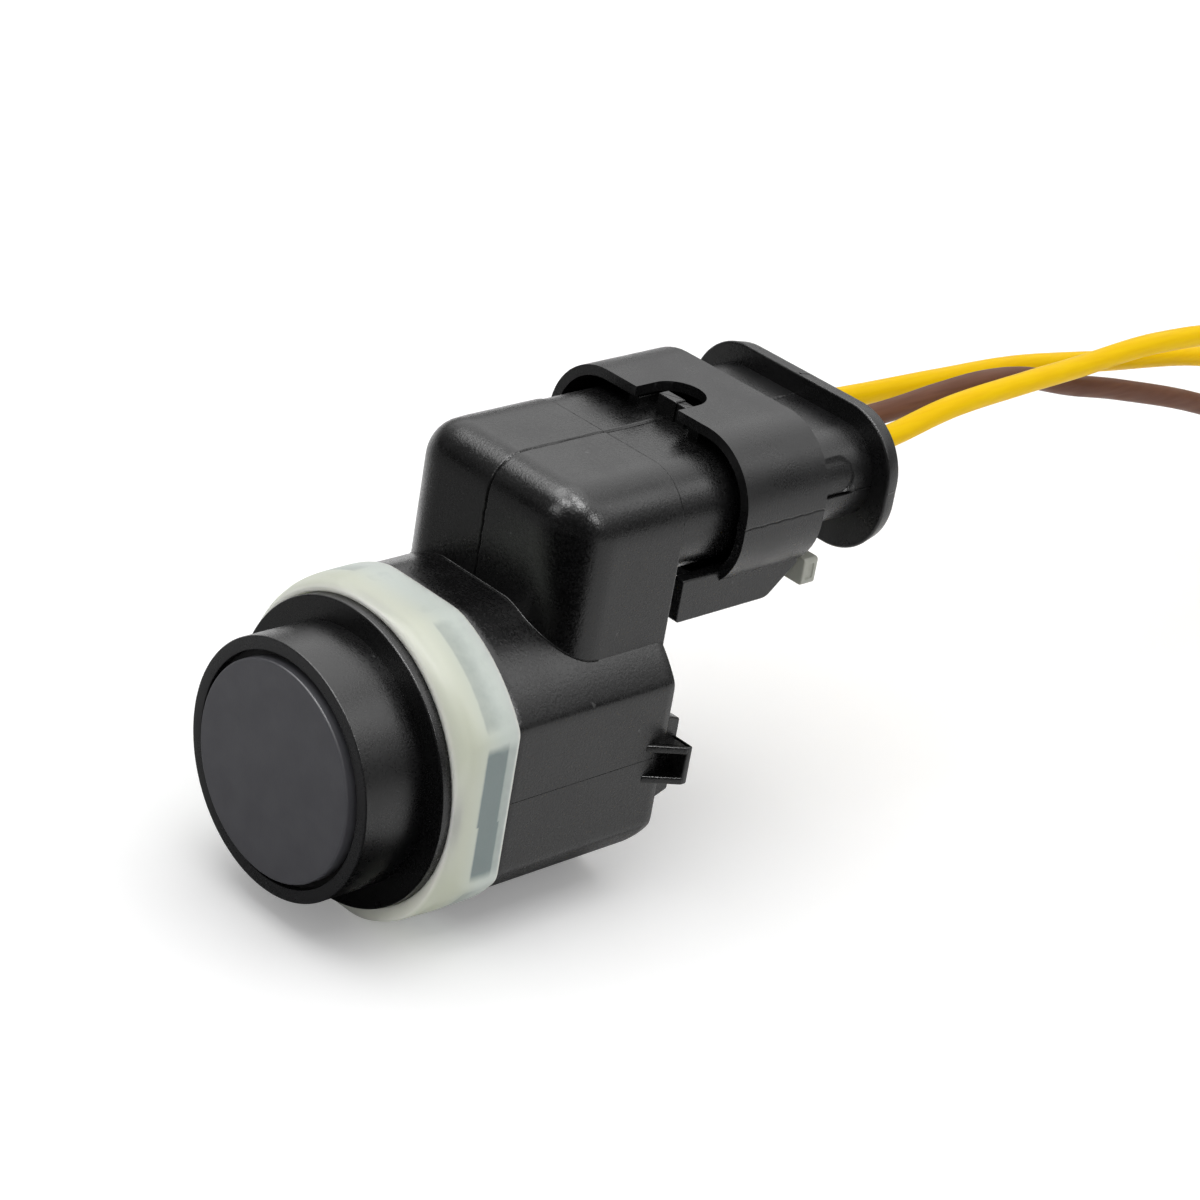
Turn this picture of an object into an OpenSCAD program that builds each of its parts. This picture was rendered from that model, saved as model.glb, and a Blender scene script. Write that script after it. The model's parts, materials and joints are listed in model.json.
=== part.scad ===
// Ultrasonic parking sensor with its plugged-in connector and three leads.
// The sensing face looks along -Y, the leads leave along +Y, +Z is up.
// The origin lies on the nose axis, in the plane of the nose rim. Millimetres.

/* [Nose] */
// Diameter of the nose that fills the bumper hole
nose_d = 18.2; // [17.4:0.1:19]
// How far the nose stands in front of its flange
nose_len = 5; // [4:0.1:6.5]
// Diameter of the membrane face
membrane_d = 15.4; // [14.6:0.1:15.8]
// How far the membrane stands in front of the rim
membrane_proud = 0.45; // [0.1:0.05:0.6]
// Thickness of the membrane
membrane_t = 0.8; // [0.5:0.1:1.2]
// Wall of the membrane cup
cup_wall = 1; // [0.8:0.1:1.5]
// Length of the membrane cup
cup_len = 9; // [7.5:0.1:9.5]
// Width of the soft groove around the membrane
groove_w = 0.45; // [0.3:0.05:0.6]
// Depth of the soft groove below the rim
groove_deep = 0.6; // [0.3:0.05:1]

/* [Flange and ring] */
// Wall of the ring's lip beside the black flange, at the side flats
lip_wall = 0.2; // [0.15:0.05:0.5]
// Thickness of the black flange
flange_t = 1.6; // [1.2:0.1:2.2]
// Length of the translucent ring
ring_len = 5.1; // [4.2:0.1:6]
// How far the ring's lip covers the flange edge
lip_len = 0.85; // [0.5:0.05:1.1]
// How far the ring stands out from the housing
ring_proud = 0.3; // [0.25:0.05:0.6]
// Length of the cone that leads from the lip to the corners of the ring
ring_cone = 1.8; // [1.2:0.1:2.6]

/* [Housing] */
// Width across the side flats
body_w = 21.5; // [21.4:0.1:22.6]
// Height across the top and bottom flats
body_h = 21.9; // [21.4:0.1:22.8]
// Radius of the arcs between the flats
corner_r = 12.7; // [12.4:0.1:13.2]
// How far the centres of these arcs lie above and below the nose axis
corner_shift = 1.25; // [0.9:0.05:1.5]
// Length of the housing behind the ring
body_len = 14.5; // [13.5:0.1:17]
// Diameter of the chamber for the electronics
chamber_d = 19.2; // [18.6:0.1:19.6]
// How deep the potting lies below the rear face
potting_drop = 0.8; // [0.3:0.1:1.4]

/* [Riser and socket] */
// Width of the riser
riser_w = 17.6; // [17:0.1:18.2]
// Height of the riser's top above the nose axis
riser_top = 19.85; // [19:0.05:21]
// Distance from the ring to the riser's front face
riser_setback = 4.45; // [3.5:0.05:5]
// Radius of the riser's upright edges
riser_corner = 4; // [2.5:0.1:4.5]
// Radius of the riser's front top edge
riser_edge = 2.8; // [2:0.1:3.5]
// Radius that rounds the riser's two front top corners
riser_ball = 3.4; // [2:0.1:3.8]
// Height of the socket barrel
socket_h = 8.3; // [7.8:0.1:8.6]
// Length of the socket barrel behind the housing
socket_len = 10.6; // [9.8:0.1:11.2]
// Wall of the socket barrel
socket_wall = 1.1; // [0.9:0.05:1.3]
// Depth of the socket measured from its open end
socket_deep = 8.8; // [8.2:0.1:9.6]

/* [Snap lugs] */
// How far a lug stands out from the side flat
lug_out = 1.6; // [0.8:0.05:2]
// Length of a lug along the sensor
lug_len = 2.95; // [2:0.05:3.5]
// Height of a lug
lug_h = 2.95; // [2:0.05:4]
// Wall of the hollow lug
lug_wall = 0.55; // [0.4:0.05:0.8]
// How far the lug's base stands behind the housing
tab_len = 1.1; // [0.6:0.1:1.6]
// Height of the lug's base
tab_h = 6; // [4.5:0.1:8]
// How far the lugs lie below the nose axis
lug_drop = 0.3; // [0:0.1:1.5]

/* [Plug] */
// Distance from the housing's rear face to the sleeve
sleeve_setback = 4.8; // [4.2:0.1:5.4]
// Length of the sleeve
sleeve_len = 7.85; // [7.4:0.05:9]
// Width of the sleeve
sleeve_w = 20.2; // [19.8:0.1:21]
// Height of the sleeve
sleeve_h = 11.5; // [11:0.1:12]
// Wall of the sleeve
sleeve_wall = 0.75; // [0.6:0.05:0.9]
// Corner radius of the sleeve
sleeve_corner = 5; // [4:0.1:5.4]
// Width of the notch in the sleeve's top
notch_w = 4.2; // [3.6:0.1:5.5]
// Length of the notch in the sleeve's top
notch_len = 4; // [3:0.1:4.8]
// Width across the outside of the two skirts
skirt_span = 17.2; // [16.4:0.1:17.6]
// Thickness of a skirt
skirt_t = 1; // [0.7:0.1:1.3]
// How far the skirts hang below the sleeve
skirt_deep = 1.1; // [0.6:0.05:1.6]
// How far the skirts reach in front of the sleeve
skirt_reach = 3.6; // [2:0.1:3.8]
// Width of the neck
neck_w = 17; // [15.5:0.1:17.4]
// Height of the neck
neck_h = 7; // [6.4:0.1:7.4]
// Length of the neck between the sleeve and the end plate
neck_len = 6.45; // [6.2:0.05:8]
// Width of the end plate
end_w = 20; // [18:0.1:21]
// Height of the end plate
end_h = 11.1; // [9.5:0.1:11.5]
// Thickness of the end plate
end_t = 1.4; // [1:0.1:2]
// Length of the windows in the sides of the neck
window_len = 4.5; // [3:0.1:5]
// Depth of the windows in the sides of the neck
window_deep = 0.25; // [0.15:0.05:0.6]
// How far the end plate's middle lies below the plug axis
end_drop = 0.5; // [0:0.05:0.8]
// Gap between the plug's tower and the socket wall, filled by the seal
seal_gap = 0.8; // [0.6:0.05:0.9]

/* [Latch and lock] */
// Width of the latch arm
arm_w = 7.8; // [6.4:0.1:8.6]
// Thickness of the latch arm
arm_t = 0.95; // [0.8:0.05:1.1]
// Length of the lock's cross bar
bar_w = 17.3; // [15:0.1:18]
// Thickness of the lock's cross bar
bar_t = 1.4; // [0.8:0.1:1.6]
// Height of the lock's cross bar
bar_h = 2.05; // [1.6:0.05:2.2]
// How far the lock is pulled to free the latch
lock_travel = 3; // [2:0.1:3]

/* [Contacts and leads] */
// Distance between neighbouring contacts
pitch = 4; // [3.7:0.05:4.3]
// Width of a contact pin
pin_w = 0.8; // [0.6:0.05:1]
// Thickness of a contact pin
pin_t = 0.6; // [0.4:0.05:0.8]
// Outer diameter of a lead
wire_d = 1.7; // [1.5:0.05:1.9]
// Outer diameter of a lead's seal
wire_seal_d = 3.3; // [3.1:0.05:3.5]
// Side of a crimp terminal's box
terminal_w = 2.1; // [1.8:0.05:2.1]

/* [Electronics] */
// Width of the circuit board
board_w = 14; // [11:0.5:14]
// Thickness of the circuit board
board_t = 1.2; // [0.8:0.1:1.6]
// Height of the board's lower face above the nose axis
board_z = 4.8; // [4.4:0.1:5]
// Diameter of the piezo disc
piezo_d = 10.4; // [10:0.1:11]
// Thickness of the piezo disc
piezo_t = 0.5; // [0.3:0.1:0.8]
// Diameter of the transformer
coil_d = 5.6; // [4.5:0.1:5.6]
// Height of the transformer
coil_h = 4.4; // [3:0.1:6]

/* [Hidden] */
$fn = 96;
// Clearance of parts that are pushed together
fit = 0.05;
// Clearance between parts that slide on each other
slide = 0.2;
// How far cuts run past the solid
over = 1;

nose_r = nose_d / 2;
membrane_r = membrane_d / 2;
pocket_r = membrane_r + groove_w;
cup_in_r = membrane_r - cup_wall;
cup_front = -membrane_proud;
cup_rear = cup_front + cup_len;
cup_floor = cup_front + membrane_t;
piezo_rear = cup_floor + piezo_t;
isolator_lip = 0.75;
pocket_rear = cup_rear + isolator_lip;

flange_r = body_w / 2 + ring_proud - lip_wall - fit;
// How much wider the lip's front edge is than the flange
lip_edge = 0.25;
flange_rear = nose_len + flange_t;
chamber_r = chamber_d / 2;
spigot_r = chamber_r - fit;
throat_r = cup_in_r - 0.6;
ring_front = flange_rear - lip_len;
ring_rear = ring_front + ring_len;
spigot_rear = max(ring_rear + 2.5, pocket_rear + 1.5);
body_rear = ring_rear + body_len;
edge_break = 0.3;

riser_front = ring_rear + riser_setback;
axis_z = riser_top - socket_h / 2;
socket_w = riser_w - 0.2;
socket_rear = body_rear + socket_len;
socket_floor = socket_rear - socket_deep;
socket_corner = socket_h / 2 - 0.25;
riser_cap = body_rear + 0.2;
// Where the riser's sides meet the body, and a little below
riser_foot = sqrt(corner_r * corner_r - riser_w * riser_w / 4) - corner_shift - 0.4;

sleeve_front = body_rear + sleeve_setback;
sleeve_rear = sleeve_front + sleeve_len;
sleeve_low = axis_z - sleeve_h / 2;
web_t = 1.15;
neck_rear = sleeve_rear + neck_len;
end_rear = neck_rear + end_t;
tower_w = socket_w - 2 * socket_wall - 2 * seal_gap;
tower_h = socket_h - 2 * socket_wall - 2 * seal_gap;
tower_gap = 1;
tower_wall = 0.9;
tower_front = socket_floor + tower_gap;
seal_setback = 2.4;
seal_rib = 0.7;
seal_rib_deep = 0.25;
skirt_low = sleeve_low - skirt_deep;
skirt_top = axis_z - 3.45;
notch_r = notch_w / 2;
skirt_run = 2.2;
skirt_rise = 2.2;
skirt_ease = 1;
key_x = -1;
key_w = 2.7;
key_t = 0.95;
key_y = sleeve_front + 1.15;
key_top = axis_z + sleeve_h / 2 - 0.2;
window_h = 2.4;
slot_h = 0.3;
slot_deep = 2 * window_deep;
guide_x = 3;
guide_w = 1;
guide_len = 4;
guide_h = 0.45;

arm_root = sleeve_front + 1.5;
arm_tip = sleeve_rear - 0.15;
slit_w = 0.5;
catch_y = arm_root + 1.8;
catch_len = 1.3;
catch_w = 3.6;
catch_low = sleeve_low + 0.35;

bar_low = skirt_low + 0.15;
bar_y = sleeve_rear + 0.8;
rail_w = 3.8;
rail_stem_w = 1.8;
rail_t = 0.8;
neck_low = axis_z - neck_h / 2;
rail_low = neck_low - 2 * rail_t;
block_w = rail_w + 2.6;
block_front = sleeve_rear + 0.25;
block_rear = neck_rear - lock_travel - slide;

bore_r = terminal_w * 0.72;
wire_r = wire_d / 2;
seal_front = neck_rear - 3.6;
seal_rear = end_rear - 0.8;
terminal_front = tower_front + tower_wall;
terminal_len = 6;
crimp_rear = seal_front - 0.6;
pin_reach = 4.2;
pin_taper = 0.6;
pin_foot = 0.5;
pin_tip = terminal_front + pin_reach;
contact_x = [-pitch, 0, pitch];

board_front = spigot_rear + 0.4;
board_cover = 0.8;
board_rear = body_rear - potting_drop - board_cover;
pin_inset = 2.2;
pin_y = board_rear - pin_inset;
coil_x = -2.5;
coil_y = board_front + 0.7 + coil_d / 2;
chip_side = 4;
chip_t = 1;
cap_size = [2, 3.2, 1.2];
lead_r = 0.25;
lead_x = 1.5;
lead_z = board_z - lead_r;
lead_rear = board_front + 0.5;

// Lead routes behind the terminals: the seen part follows the photo,
// the rest bends down to the floor and lies there.
yellow_upper_route = [[-4, 47, 15.7], [-4, 56, 15.2], [-4, 66, 14.8], [-4, 75, 14.3], [-4, 86, 12.8],
    [-4, 100, 10.8], [-4, 112, 7], [-5, 123, 1], [-6, 133, -5.5], [-7, 144, -9.7], [-8, 158, -10.3]];
brown_route = [[0, 47, 15.7], [0, 55, 15.8], [0, 61, 16.2], [0, 66, 16.3], [0, 71, 15.7], [0, 77, 14],
    [0, 84, 12.3], [0, 95, 9.1], [0, 108, 4], [0, 119, -2], [1, 129, -7.6], [2, 140, -10.1],
    [3, 153, -10.3]];
yellow_lower_route = [[4, 47, 15.8], [3.7, 52, 16.2], [3, 59, 16.8], [2.2, 68, 16.7], [1.6, 75, 16.5],
    [1, 86, 16.5], [1, 97, 15.2], [2, 108, 11], [3, 118, 4.5], [5, 128, -3], [7, 138, -9], [9, 149, -10.3]];

black = [0.09, 0.09, 0.1];
black_plug = [0.13, 0.13, 0.14];
slate = [0.24, 0.24, 0.26];
milk = [0.87, 0.89, 0.83];
soft_black = [0.05, 0.05, 0.05];
tin = [0.75, 0.75, 0.76];
yellow = [0.98, 0.78, 0.05];
brown = [0.3, 0.16, 0.1];

// Extrudes a drawing in X and Z along Y, from y0 to y1.
module along_y(y0, y1) {
    translate([0, y1, 0]) rotate([90, 0, 0]) linear_extrude(y1 - y0) children();
}

// Extrudes a drawing in Y and Z along X, from x0 to x1.
module along_x(x0, x1) {
    translate([x0, 0, 0]) rotate([90, 0, 90]) linear_extrude(x1 - x0) children();
}

// Turns a drawing in radius and Y about the nose axis.
module spin_y() {
    rotate([-90, 0, 0]) rotate_extrude() children();
}

// Round bar along Y from y0 to y1.
module rod(r, y0, y1) {
    translate([0, y0, 0]) rotate([-90, 0, 0]) cylinder(r = r, h = y1 - y0);
}

// Rectangle with round corners about the drawing's origin.
module rounded(w, h, r) {
    square([w - 2 * r, h], center = true);
    square([w, h - 2 * r], center = true);
    for (sx = [-1, 1], sz = [-1, 1])
        translate([sx * (w / 2 - r), sz * (h / 2 - r)]) circle(r);
}

// The same rectangle about the plug axis.
module plug_section(w, h, r) {
    translate([0, axis_z]) rounded(w, h, r);
}

// Cross-section of the housing: four flats joined by wide arcs.
module body_section(grow) {
    intersection() {
        square([body_w + 2 * grow, body_h + 2 * grow], center = true);
        translate([0, corner_shift]) circle(corner_r + grow);
        translate([0, -corner_shift]) circle(corner_r + grow);
    }
}

// Deep-drawn aluminium cup: its floor is the membrane.
module membrane_cup() {
    color(slate) spin_y() polygon([[0, cup_front], [membrane_r - edge_break, cup_front],
        [membrane_r, cup_front + edge_break], [membrane_r, cup_rear], [cup_in_r, cup_rear],
        [cup_in_r, cup_floor], [0, cup_floor]]);
}

module piezo_disc() {
    color("wheat") rod(piezo_d / 2, cup_floor, piezo_rear);
}

// Soft filling behind the piezo, with two passages for its leads.
module damping_foam() {
    color("dimgray") difference() {
        rod(cup_in_r, cup_floor, cup_rear - 2.4);
        rod(piezo_d / 2, cup_floor - 1, piezo_rear);
        for (side = [-1, 1]) piezo_lead(side, fit);
    }
}

// Silicone sleeve that keeps the cup's vibration out of the collar.
module decoupling_ring() {
    color(soft_black) spin_y() polygon([[membrane_r, groove_deep], [pocket_r, groove_deep],
        [pocket_r, pocket_rear], [throat_r, pocket_rear], [throat_r, cup_rear], [membrane_r, cup_rear]]);
}

// Nose with its flange and the spigot that is pressed into the housing.
module nose_collar() {
    color(black) spin_y() polygon([[pocket_r, 0], [nose_r - edge_break / 2, 0], [nose_r, edge_break / 2],
        [nose_r, nose_len], [flange_r - edge_break, nose_len], [flange_r, nose_len + edge_break],
        [flange_r, flange_rear], [spigot_r, flange_rear], [spigot_r, spigot_rear],
        [throat_r, spigot_rear], [throat_r, pocket_rear], [pocket_r, pocket_rear]]);
}

// Milky ring behind the flange: a cone in front, the housing's flats behind.
module support_ring() {
    lip_r = flange_r + fit + lip_edge;
    outer_r = corner_r + ring_proud;
    color(milk) difference() {
        intersection() {
            along_y(ring_front, ring_rear) body_section(ring_proud);
            spin_y() polygon([[0, ring_front], [lip_r, ring_front], [outer_r, ring_front + ring_cone],
                [outer_r, ring_rear], [0, ring_rear]]);
        }
        rod(flange_r + fit, ring_front - 1, flange_rear);
        rod(chamber_r, ring_front - 1, ring_rear + 1);
    }
}

// Riser: three extrusions cut to their common shape, so that every edge is round.
module riser() {
    deep = riser_cap - riser_front;
    intersection() {
        along_y(riser_front, riser_cap) translate([0, axis_z / 2 + socket_h / 4])
            rounded(riser_w, axis_z + socket_h / 2, socket_corner);
        translate([0, riser_front + deep, -1]) linear_extrude(riser_top + 2) {
            translate([0, -deep / 2 + riser_corner / 2])
                square([riser_w + 1, deep - riser_corner], center = true);
            translate([0, -deep + riser_corner / 2])
                square([riser_w - 2 * riser_corner, riser_corner + 0.02], center = true);
            for (side = [-1, 1])
                translate([side * (riser_w / 2 - riser_corner), riser_corner - deep]) circle(riser_corner);
        }
        along_x(-riser_w, riser_w) {
            translate([riser_front + riser_edge, 0]) square([deep - riser_edge, riser_top]);
            translate([riser_front, 0]) square([deep, riser_top - riser_edge]);
            translate([riser_front + riser_edge, riser_top - riser_edge]) circle(riser_edge);
        }
        riser_diagonal(1);
        riser_diagonal(-1);
    }
}

// Space behind one upright edge, round at the top, seen along the corner's diagonal.
module riser_diagonal(side) {
    reach = 2 * riser_w;
    translate([side * (riser_w / 2 - riser_corner), riser_front + riser_corner, 0])
        rotate([90, 0, side > 0 ? -45 : -135]) linear_extrude(2 * reach, center = true) {
            translate([-reach, -over]) square([reach + riser_corner - riser_ball, riser_top + over]);
            translate([-reach, -over]) square([reach + riser_corner, riser_top + over - riser_ball]);
            translate([riser_corner - riser_ball, riser_top - riser_ball]) circle(riser_ball);
        }
}

// Hollow snap lug on a side flat: two gussets, a locking wall and its base.
module snap_lug(side) {
    root = body_w / 2;
    rear = body_rear + tab_len;
    front = rear - lug_len;
    mid_z = -lug_drop;
    mirror([side > 0 ? 0 : 1, 0, 0]) {
        for (low = [mid_z - lug_h / 2, mid_z + lug_h / 2 - lug_wall])
            translate([0, 0, low]) linear_extrude(lug_wall)
                polygon([[root - 0.5, front], [root, front], [root + lug_out, rear - lug_wall],
                    [root + lug_out, rear], [root - 0.5, rear]]);
        translate([root - 0.5, rear - lug_wall, mid_z - lug_h / 2]) cube([lug_out + 0.5, lug_wall, lug_h]);
        along_x(chamber_r + 0.2, root) translate([0, mid_z])
            polygon([[body_rear - 2, -tab_h / 2], [body_rear, -tab_h / 2], [rear, 0.4 - tab_h / 2],
                [rear, tab_h / 2 - 0.4], [body_rear, tab_h / 2], [body_rear - 2, tab_h / 2]]);
    }
}

// One-piece housing: flatted body, riser, socket barrel, snap lugs and catch.
module housing() {
    color(black) difference() {
        union() {
            along_y(ring_rear, body_rear) body_section(0);
            difference() {
                riser();
                translate([-riser_w, body_rear, -over]) cube([2 * riser_w, socket_len, riser_foot + over]);
            }
            along_y(riser_cap - 1, socket_rear) plug_section(socket_w, socket_h - 0.2, socket_corner - 0.1);
            for (side = [-1, 1]) snap_lug(side);
            translate([key_x, key_y, axis_z]) cube([key_w, key_t, key_top - axis_z]);
            for (side = [-1, 1])
                translate([side * guide_x - guide_w / 2, sleeve_front + 0.9, axis_z])
                    cube([guide_w, guide_len, socket_h / 2 + guide_h]);
            along_x(-catch_w / 2, catch_w / 2)
                polygon([[catch_y, axis_z - socket_h / 2 + 0.3], [catch_y, catch_low],
                    [catch_y + 0.3, catch_low], [catch_y + catch_len, axis_z - socket_h / 2 + 0.3]]);
        }
        rod(chamber_r, ring_rear - 1, body_rear + tab_len + 1);
        along_y(socket_floor, socket_rear + 1) plug_section(socket_w - 2 * socket_wall,
            socket_h - 2 * socket_wall, socket_corner - socket_wall);
        for (x = contact_x) contact_pin(x);
    }
}

module circuit_board() {
    color("darkgreen") difference() {
        translate([-board_w / 2, board_front, board_z]) cube([board_w, board_rear - board_front, board_t]);
        for (x = contact_x) contact_pin(x);
    }
}

// Pot core with a winding window all round.
module transformer() {
    flange_h = coil_h / 5;
    color("darkslategray") translate([coil_x, coil_y, board_z - coil_h]) {
        cylinder(d = coil_d, h = flange_h);
        translate([0, 0, coil_h - flange_h]) cylinder(d = coil_d, h = flange_h);
        translate([0, 0, flange_h / 2]) cylinder(d = coil_d - 1, h = coil_h - flange_h);
    }
}

module driver_chip() {
    color("black") translate([lead_x + 0.7, board_front + 1, board_z - chip_t])
        cube([chip_side, chip_side, chip_t]);
}

module filter_capacitor() {
    color("tan") translate([-pitch - cap_size[0] / 2, board_front + 1, board_z + board_t]) cube(cap_size);
}

// Straight lead from the piezo to the board's underside.
module piezo_lead(side, grow) {
    translate([side * lead_x, 0, lead_z]) rod(lead_r + grow, piezo_rear, lead_rear);
}

// Contact pin bent at a right angle: up from the board, then back into the socket.
module contact_pin(x) {
    half = pin_t / 2;
    nib = half / 2;
    color(tin) along_x(x - pin_w / 2, x + pin_w / 2)
        polygon([[pin_y, board_z - pin_foot], [pin_y + pin_t, board_z - pin_foot],
            [pin_y + pin_t, axis_z - half], [pin_tip - pin_taper, axis_z - half],
            [pin_tip, axis_z - nib], [pin_tip, axis_z + nib],
            [pin_tip - pin_taper, axis_z + half], [pin_y, axis_z + half]]);
}

// Casting resin that fills the chamber around the electronics.
module potting() {
    color(soft_black) difference() {
        rod(chamber_r, spigot_rear, body_rear - potting_drop);
        circuit_board();
        transformer();
        driver_chip();
        filter_capacitor();
        for (side = [-1, 1]) piezo_lead(side, 0);
        for (x = contact_x) contact_pin(x);
    }
}

// Guard plates that hang below the sleeve on both sides of the latch.
module skirts() {
    front = sleeve_front - skirt_reach;
    for (side = [-1, 1])
        along_x(side > 0 ? skirt_span / 2 - skirt_t : -skirt_span / 2,
                side > 0 ? skirt_span / 2 : skirt_t - skirt_span / 2)
            polygon([[front, skirt_low], [sleeve_rear - skirt_run - skirt_ease, skirt_low],
                [sleeve_rear - skirt_run, skirt_low + skirt_ease / 3], [sleeve_rear, skirt_low + skirt_rise],
                [sleeve_rear, skirt_top], [front, skirt_top]]);
}

// Latch arm in the sleeve's floor, with the window that drops over the catch.
module latch_arm() {
    difference() {
        translate([-arm_w / 2, arm_root - 0.5, sleeve_low]) cube([arm_w, arm_tip - arm_root + 0.5, arm_t]);
        translate([-catch_w / 2 - 0.25, catch_y - 0.3, sleeve_low - 1])
            cube([catch_w + 0.5, catch_len + 0.6, 3]);
    }
}

// Rail under the neck that carries the lock.
module lock_rail(grow) {
    along_y(sleeve_rear + 0.1, neck_rear + 0.5) {
        translate([0, rail_low + rail_t / 2]) square([rail_w + 2 * grow, rail_t + 2 * grow], center = true);
        translate([0, (rail_low + neck_low) / 2 + 0.3])
            square([rail_stem_w + 2 * grow, 2 * rail_t + 0.6], center = true);
    }
}

// Round-ended windows in both sides of the neck, each with a slot along its lower edge.
module neck_windows() {
    end = sleeve_rear + window_len;
    inner_w = neck_w - 2 * window_deep;
    inner_h = neck_h - 2 * window_deep;
    for (side = [-1, 1]) mirror([side > 0 ? 0 : 1, 0, 0]) {
        difference() {
            along_x(neck_w / 4, neck_w / 2 + over) translate([0, axis_z]) {
                translate([sleeve_rear, 0]) square([window_len - window_h / 2, window_h]);
                translate([end - window_h / 2, window_h / 2]) circle(window_h / 2);
            }
            along_y(sleeve_rear - over, end + over) plug_section(inner_w, inner_h, inner_h / 2 - 0.2);
        }
        translate([neck_w / 2 - slot_deep, sleeve_rear, axis_z - slot_h])
            cube([slot_deep + over, window_len, slot_h]);
    }
}

// One-piece plug: sleeve, tower, neck, end plate, skirts and latch.
module plug_housing() {
    in_w = sleeve_w - 2 * sleeve_wall;
    in_h = sleeve_h - 2 * sleeve_wall;
    color(black_plug) difference() {
        union() {
            difference() {
                union() {
                    along_y(sleeve_front, sleeve_rear) plug_section(sleeve_w, sleeve_h, sleeve_corner);
                    skirts();
                }
                along_y(sleeve_front - skirt_reach - 1, sleeve_rear - web_t)
                    plug_section(in_w, in_h, sleeve_corner - sleeve_wall);
                translate([-arm_w / 2 - slit_w, arm_root, sleeve_low - 1])
                    cube([arm_w + 2 * slit_w, sleeve_len, arm_t + 1 + slit_w]);
                translate([-notch_r, sleeve_front - 1, axis_z])
                    cube([notch_w, notch_len + 1 - notch_r, sleeve_h]);
                translate([0, sleeve_front + notch_len - notch_r, axis_z])
                    cylinder(r = notch_r, h = sleeve_h);
            }
            latch_arm();
            along_y(tower_front, sleeve_rear) plug_section(tower_w, tower_h, tower_h / 2 - 0.2);
            along_y(sleeve_rear - web_t, neck_rear) plug_section(neck_w, neck_h, neck_h / 2 - 0.2);
            along_y(neck_rear, end_rear) translate([0, -end_drop])
                plug_section(end_w, end_h, end_h / 2 - 0.75);
            lock_rail(0);
        }
        for (x = contact_x) translate([x, 0, axis_z]) {
            rod(bore_r, terminal_front, seal_front + 1);
            rod(wire_seal_d / 2, seal_front, end_rear + 1);
            translate([-pin_w / 2 - 0.2, tower_front - over, -pin_t / 2 - 0.2])
                cube([pin_w + 0.4, tower_wall + 2 * over, pin_t + 0.4]);
        }
        neck_windows();
    }
}

// Ribbed seal between the plug's tower and the socket.
module interface_seal() {
    out_w = tower_w + 2 * seal_gap;
    out_h = tower_h + 2 * seal_gap;
    front = socket_floor + seal_setback;
    color("darkorange") difference() {
        union() {
            along_y(front, front + 5 * seal_rib)
                plug_section(out_w - 2 * seal_rib_deep, out_h - 2 * seal_rib_deep,
                    socket_corner - socket_wall - seal_rib_deep);
            for (i = [0, 2, 4])
                along_y(front + i * seal_rib, front + (i + 1) * seal_rib)
                    plug_section(out_w, out_h, socket_corner - socket_wall);
        }
        along_y(front - over, front + 5 * seal_rib + over)
            plug_section(tower_w, tower_h, tower_h / 2 - 0.2);
    }
}

// Box contact with a crimp barrel around the end of the lead.
module terminal(x) {
    box_rear = terminal_front + terminal_len;
    color(tin) translate([x, 0, axis_z]) difference() {
        union() {
            translate([-terminal_w / 2, terminal_front, -terminal_w / 2])
                cube([terminal_w, terminal_len, terminal_w]);
            rod(wire_r + 0.25, box_rear - 0.5, crimp_rear);
        }
        translate([-pin_w / 2 - fit, terminal_front - 1, -pin_t / 2 - fit])
            cube([pin_w + 2 * fit, terminal_len - 0.5, pin_t + 2 * fit]);
        rod(wire_r, box_rear + 0.2, crimp_rear + 1);
    }
}

// Rubber seal with three ribs around a lead.
module wire_seal(x) {
    step = (seal_rear - seal_front) / 5;
    r_out = wire_seal_d / 2;
    color("gold") translate([x, 0, axis_z]) difference() {
        union() {
            rod(r_out - 0.25, seal_front, seal_rear);
            for (i = [0, 2, 4]) rod(r_out, seal_front + i * step, seal_front + (i + 1) * step);
        }
        rod(wire_r, seal_front - 1, seal_rear + 1);
    }
}

// Grey lock: cross bar with end pockets, guide block on the rail, tongue below the latch.
module lock_slider() {
    tongue_t = sleeve_low - bar_low - 0.25;
    pocket = 0.3;
    color([0.7, 0.71, 0.66]) difference() {
        union() {
            along_y(bar_y, bar_y + bar_t) translate([0, bar_low + bar_h / 2]) rounded(bar_w, bar_h, 0.25);
            translate([-block_w / 2, block_front, bar_low])
                cube([block_w, block_rear - block_front, neck_low - slide - bar_low]);
            translate([-arm_w / 2 + 1.2, arm_tip - lock_travel + slide, bar_low])
                cube([arm_w - 2.4, block_front - arm_tip + lock_travel, tongue_t]);
        }
        lock_rail(slide / 2);
        for (side = [-1, 1])
            translate([side * bar_w / 2, bar_y + bar_t / 2, bar_low + bar_h / 2])
                cube([2 * pocket, bar_t * 0.5, bar_h * 0.6], center = true);
    }
}

// Point on a smooth curve through the route, between points i and i + 1.
function route_at(p, i, t) =
    let (n = len(p) - 1,
         a = p[max(i - 1, 0)], b = p[i], c = p[i + 1], d = p[min(i + 2, n)])
    0.5 * (2 * b + (c - a) * t + (2 * a - 5 * b + 4 * c - d) * t * t + (3 * b - a - 3 * c + d) * t * t * t);

function unit(v) = v / norm(v);

// Ring of points around the curve at point q, square to the direction u.
function tube_ring(q, u, r, sides) =
    let (right = unit(cross(u, [0, 0, 1])), up = cross(right, u))
    [for (k = [0 : sides - 1]) q + r * (cos(360 * k / sides) * right + sin(360 * k / sides) * up)];

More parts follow.
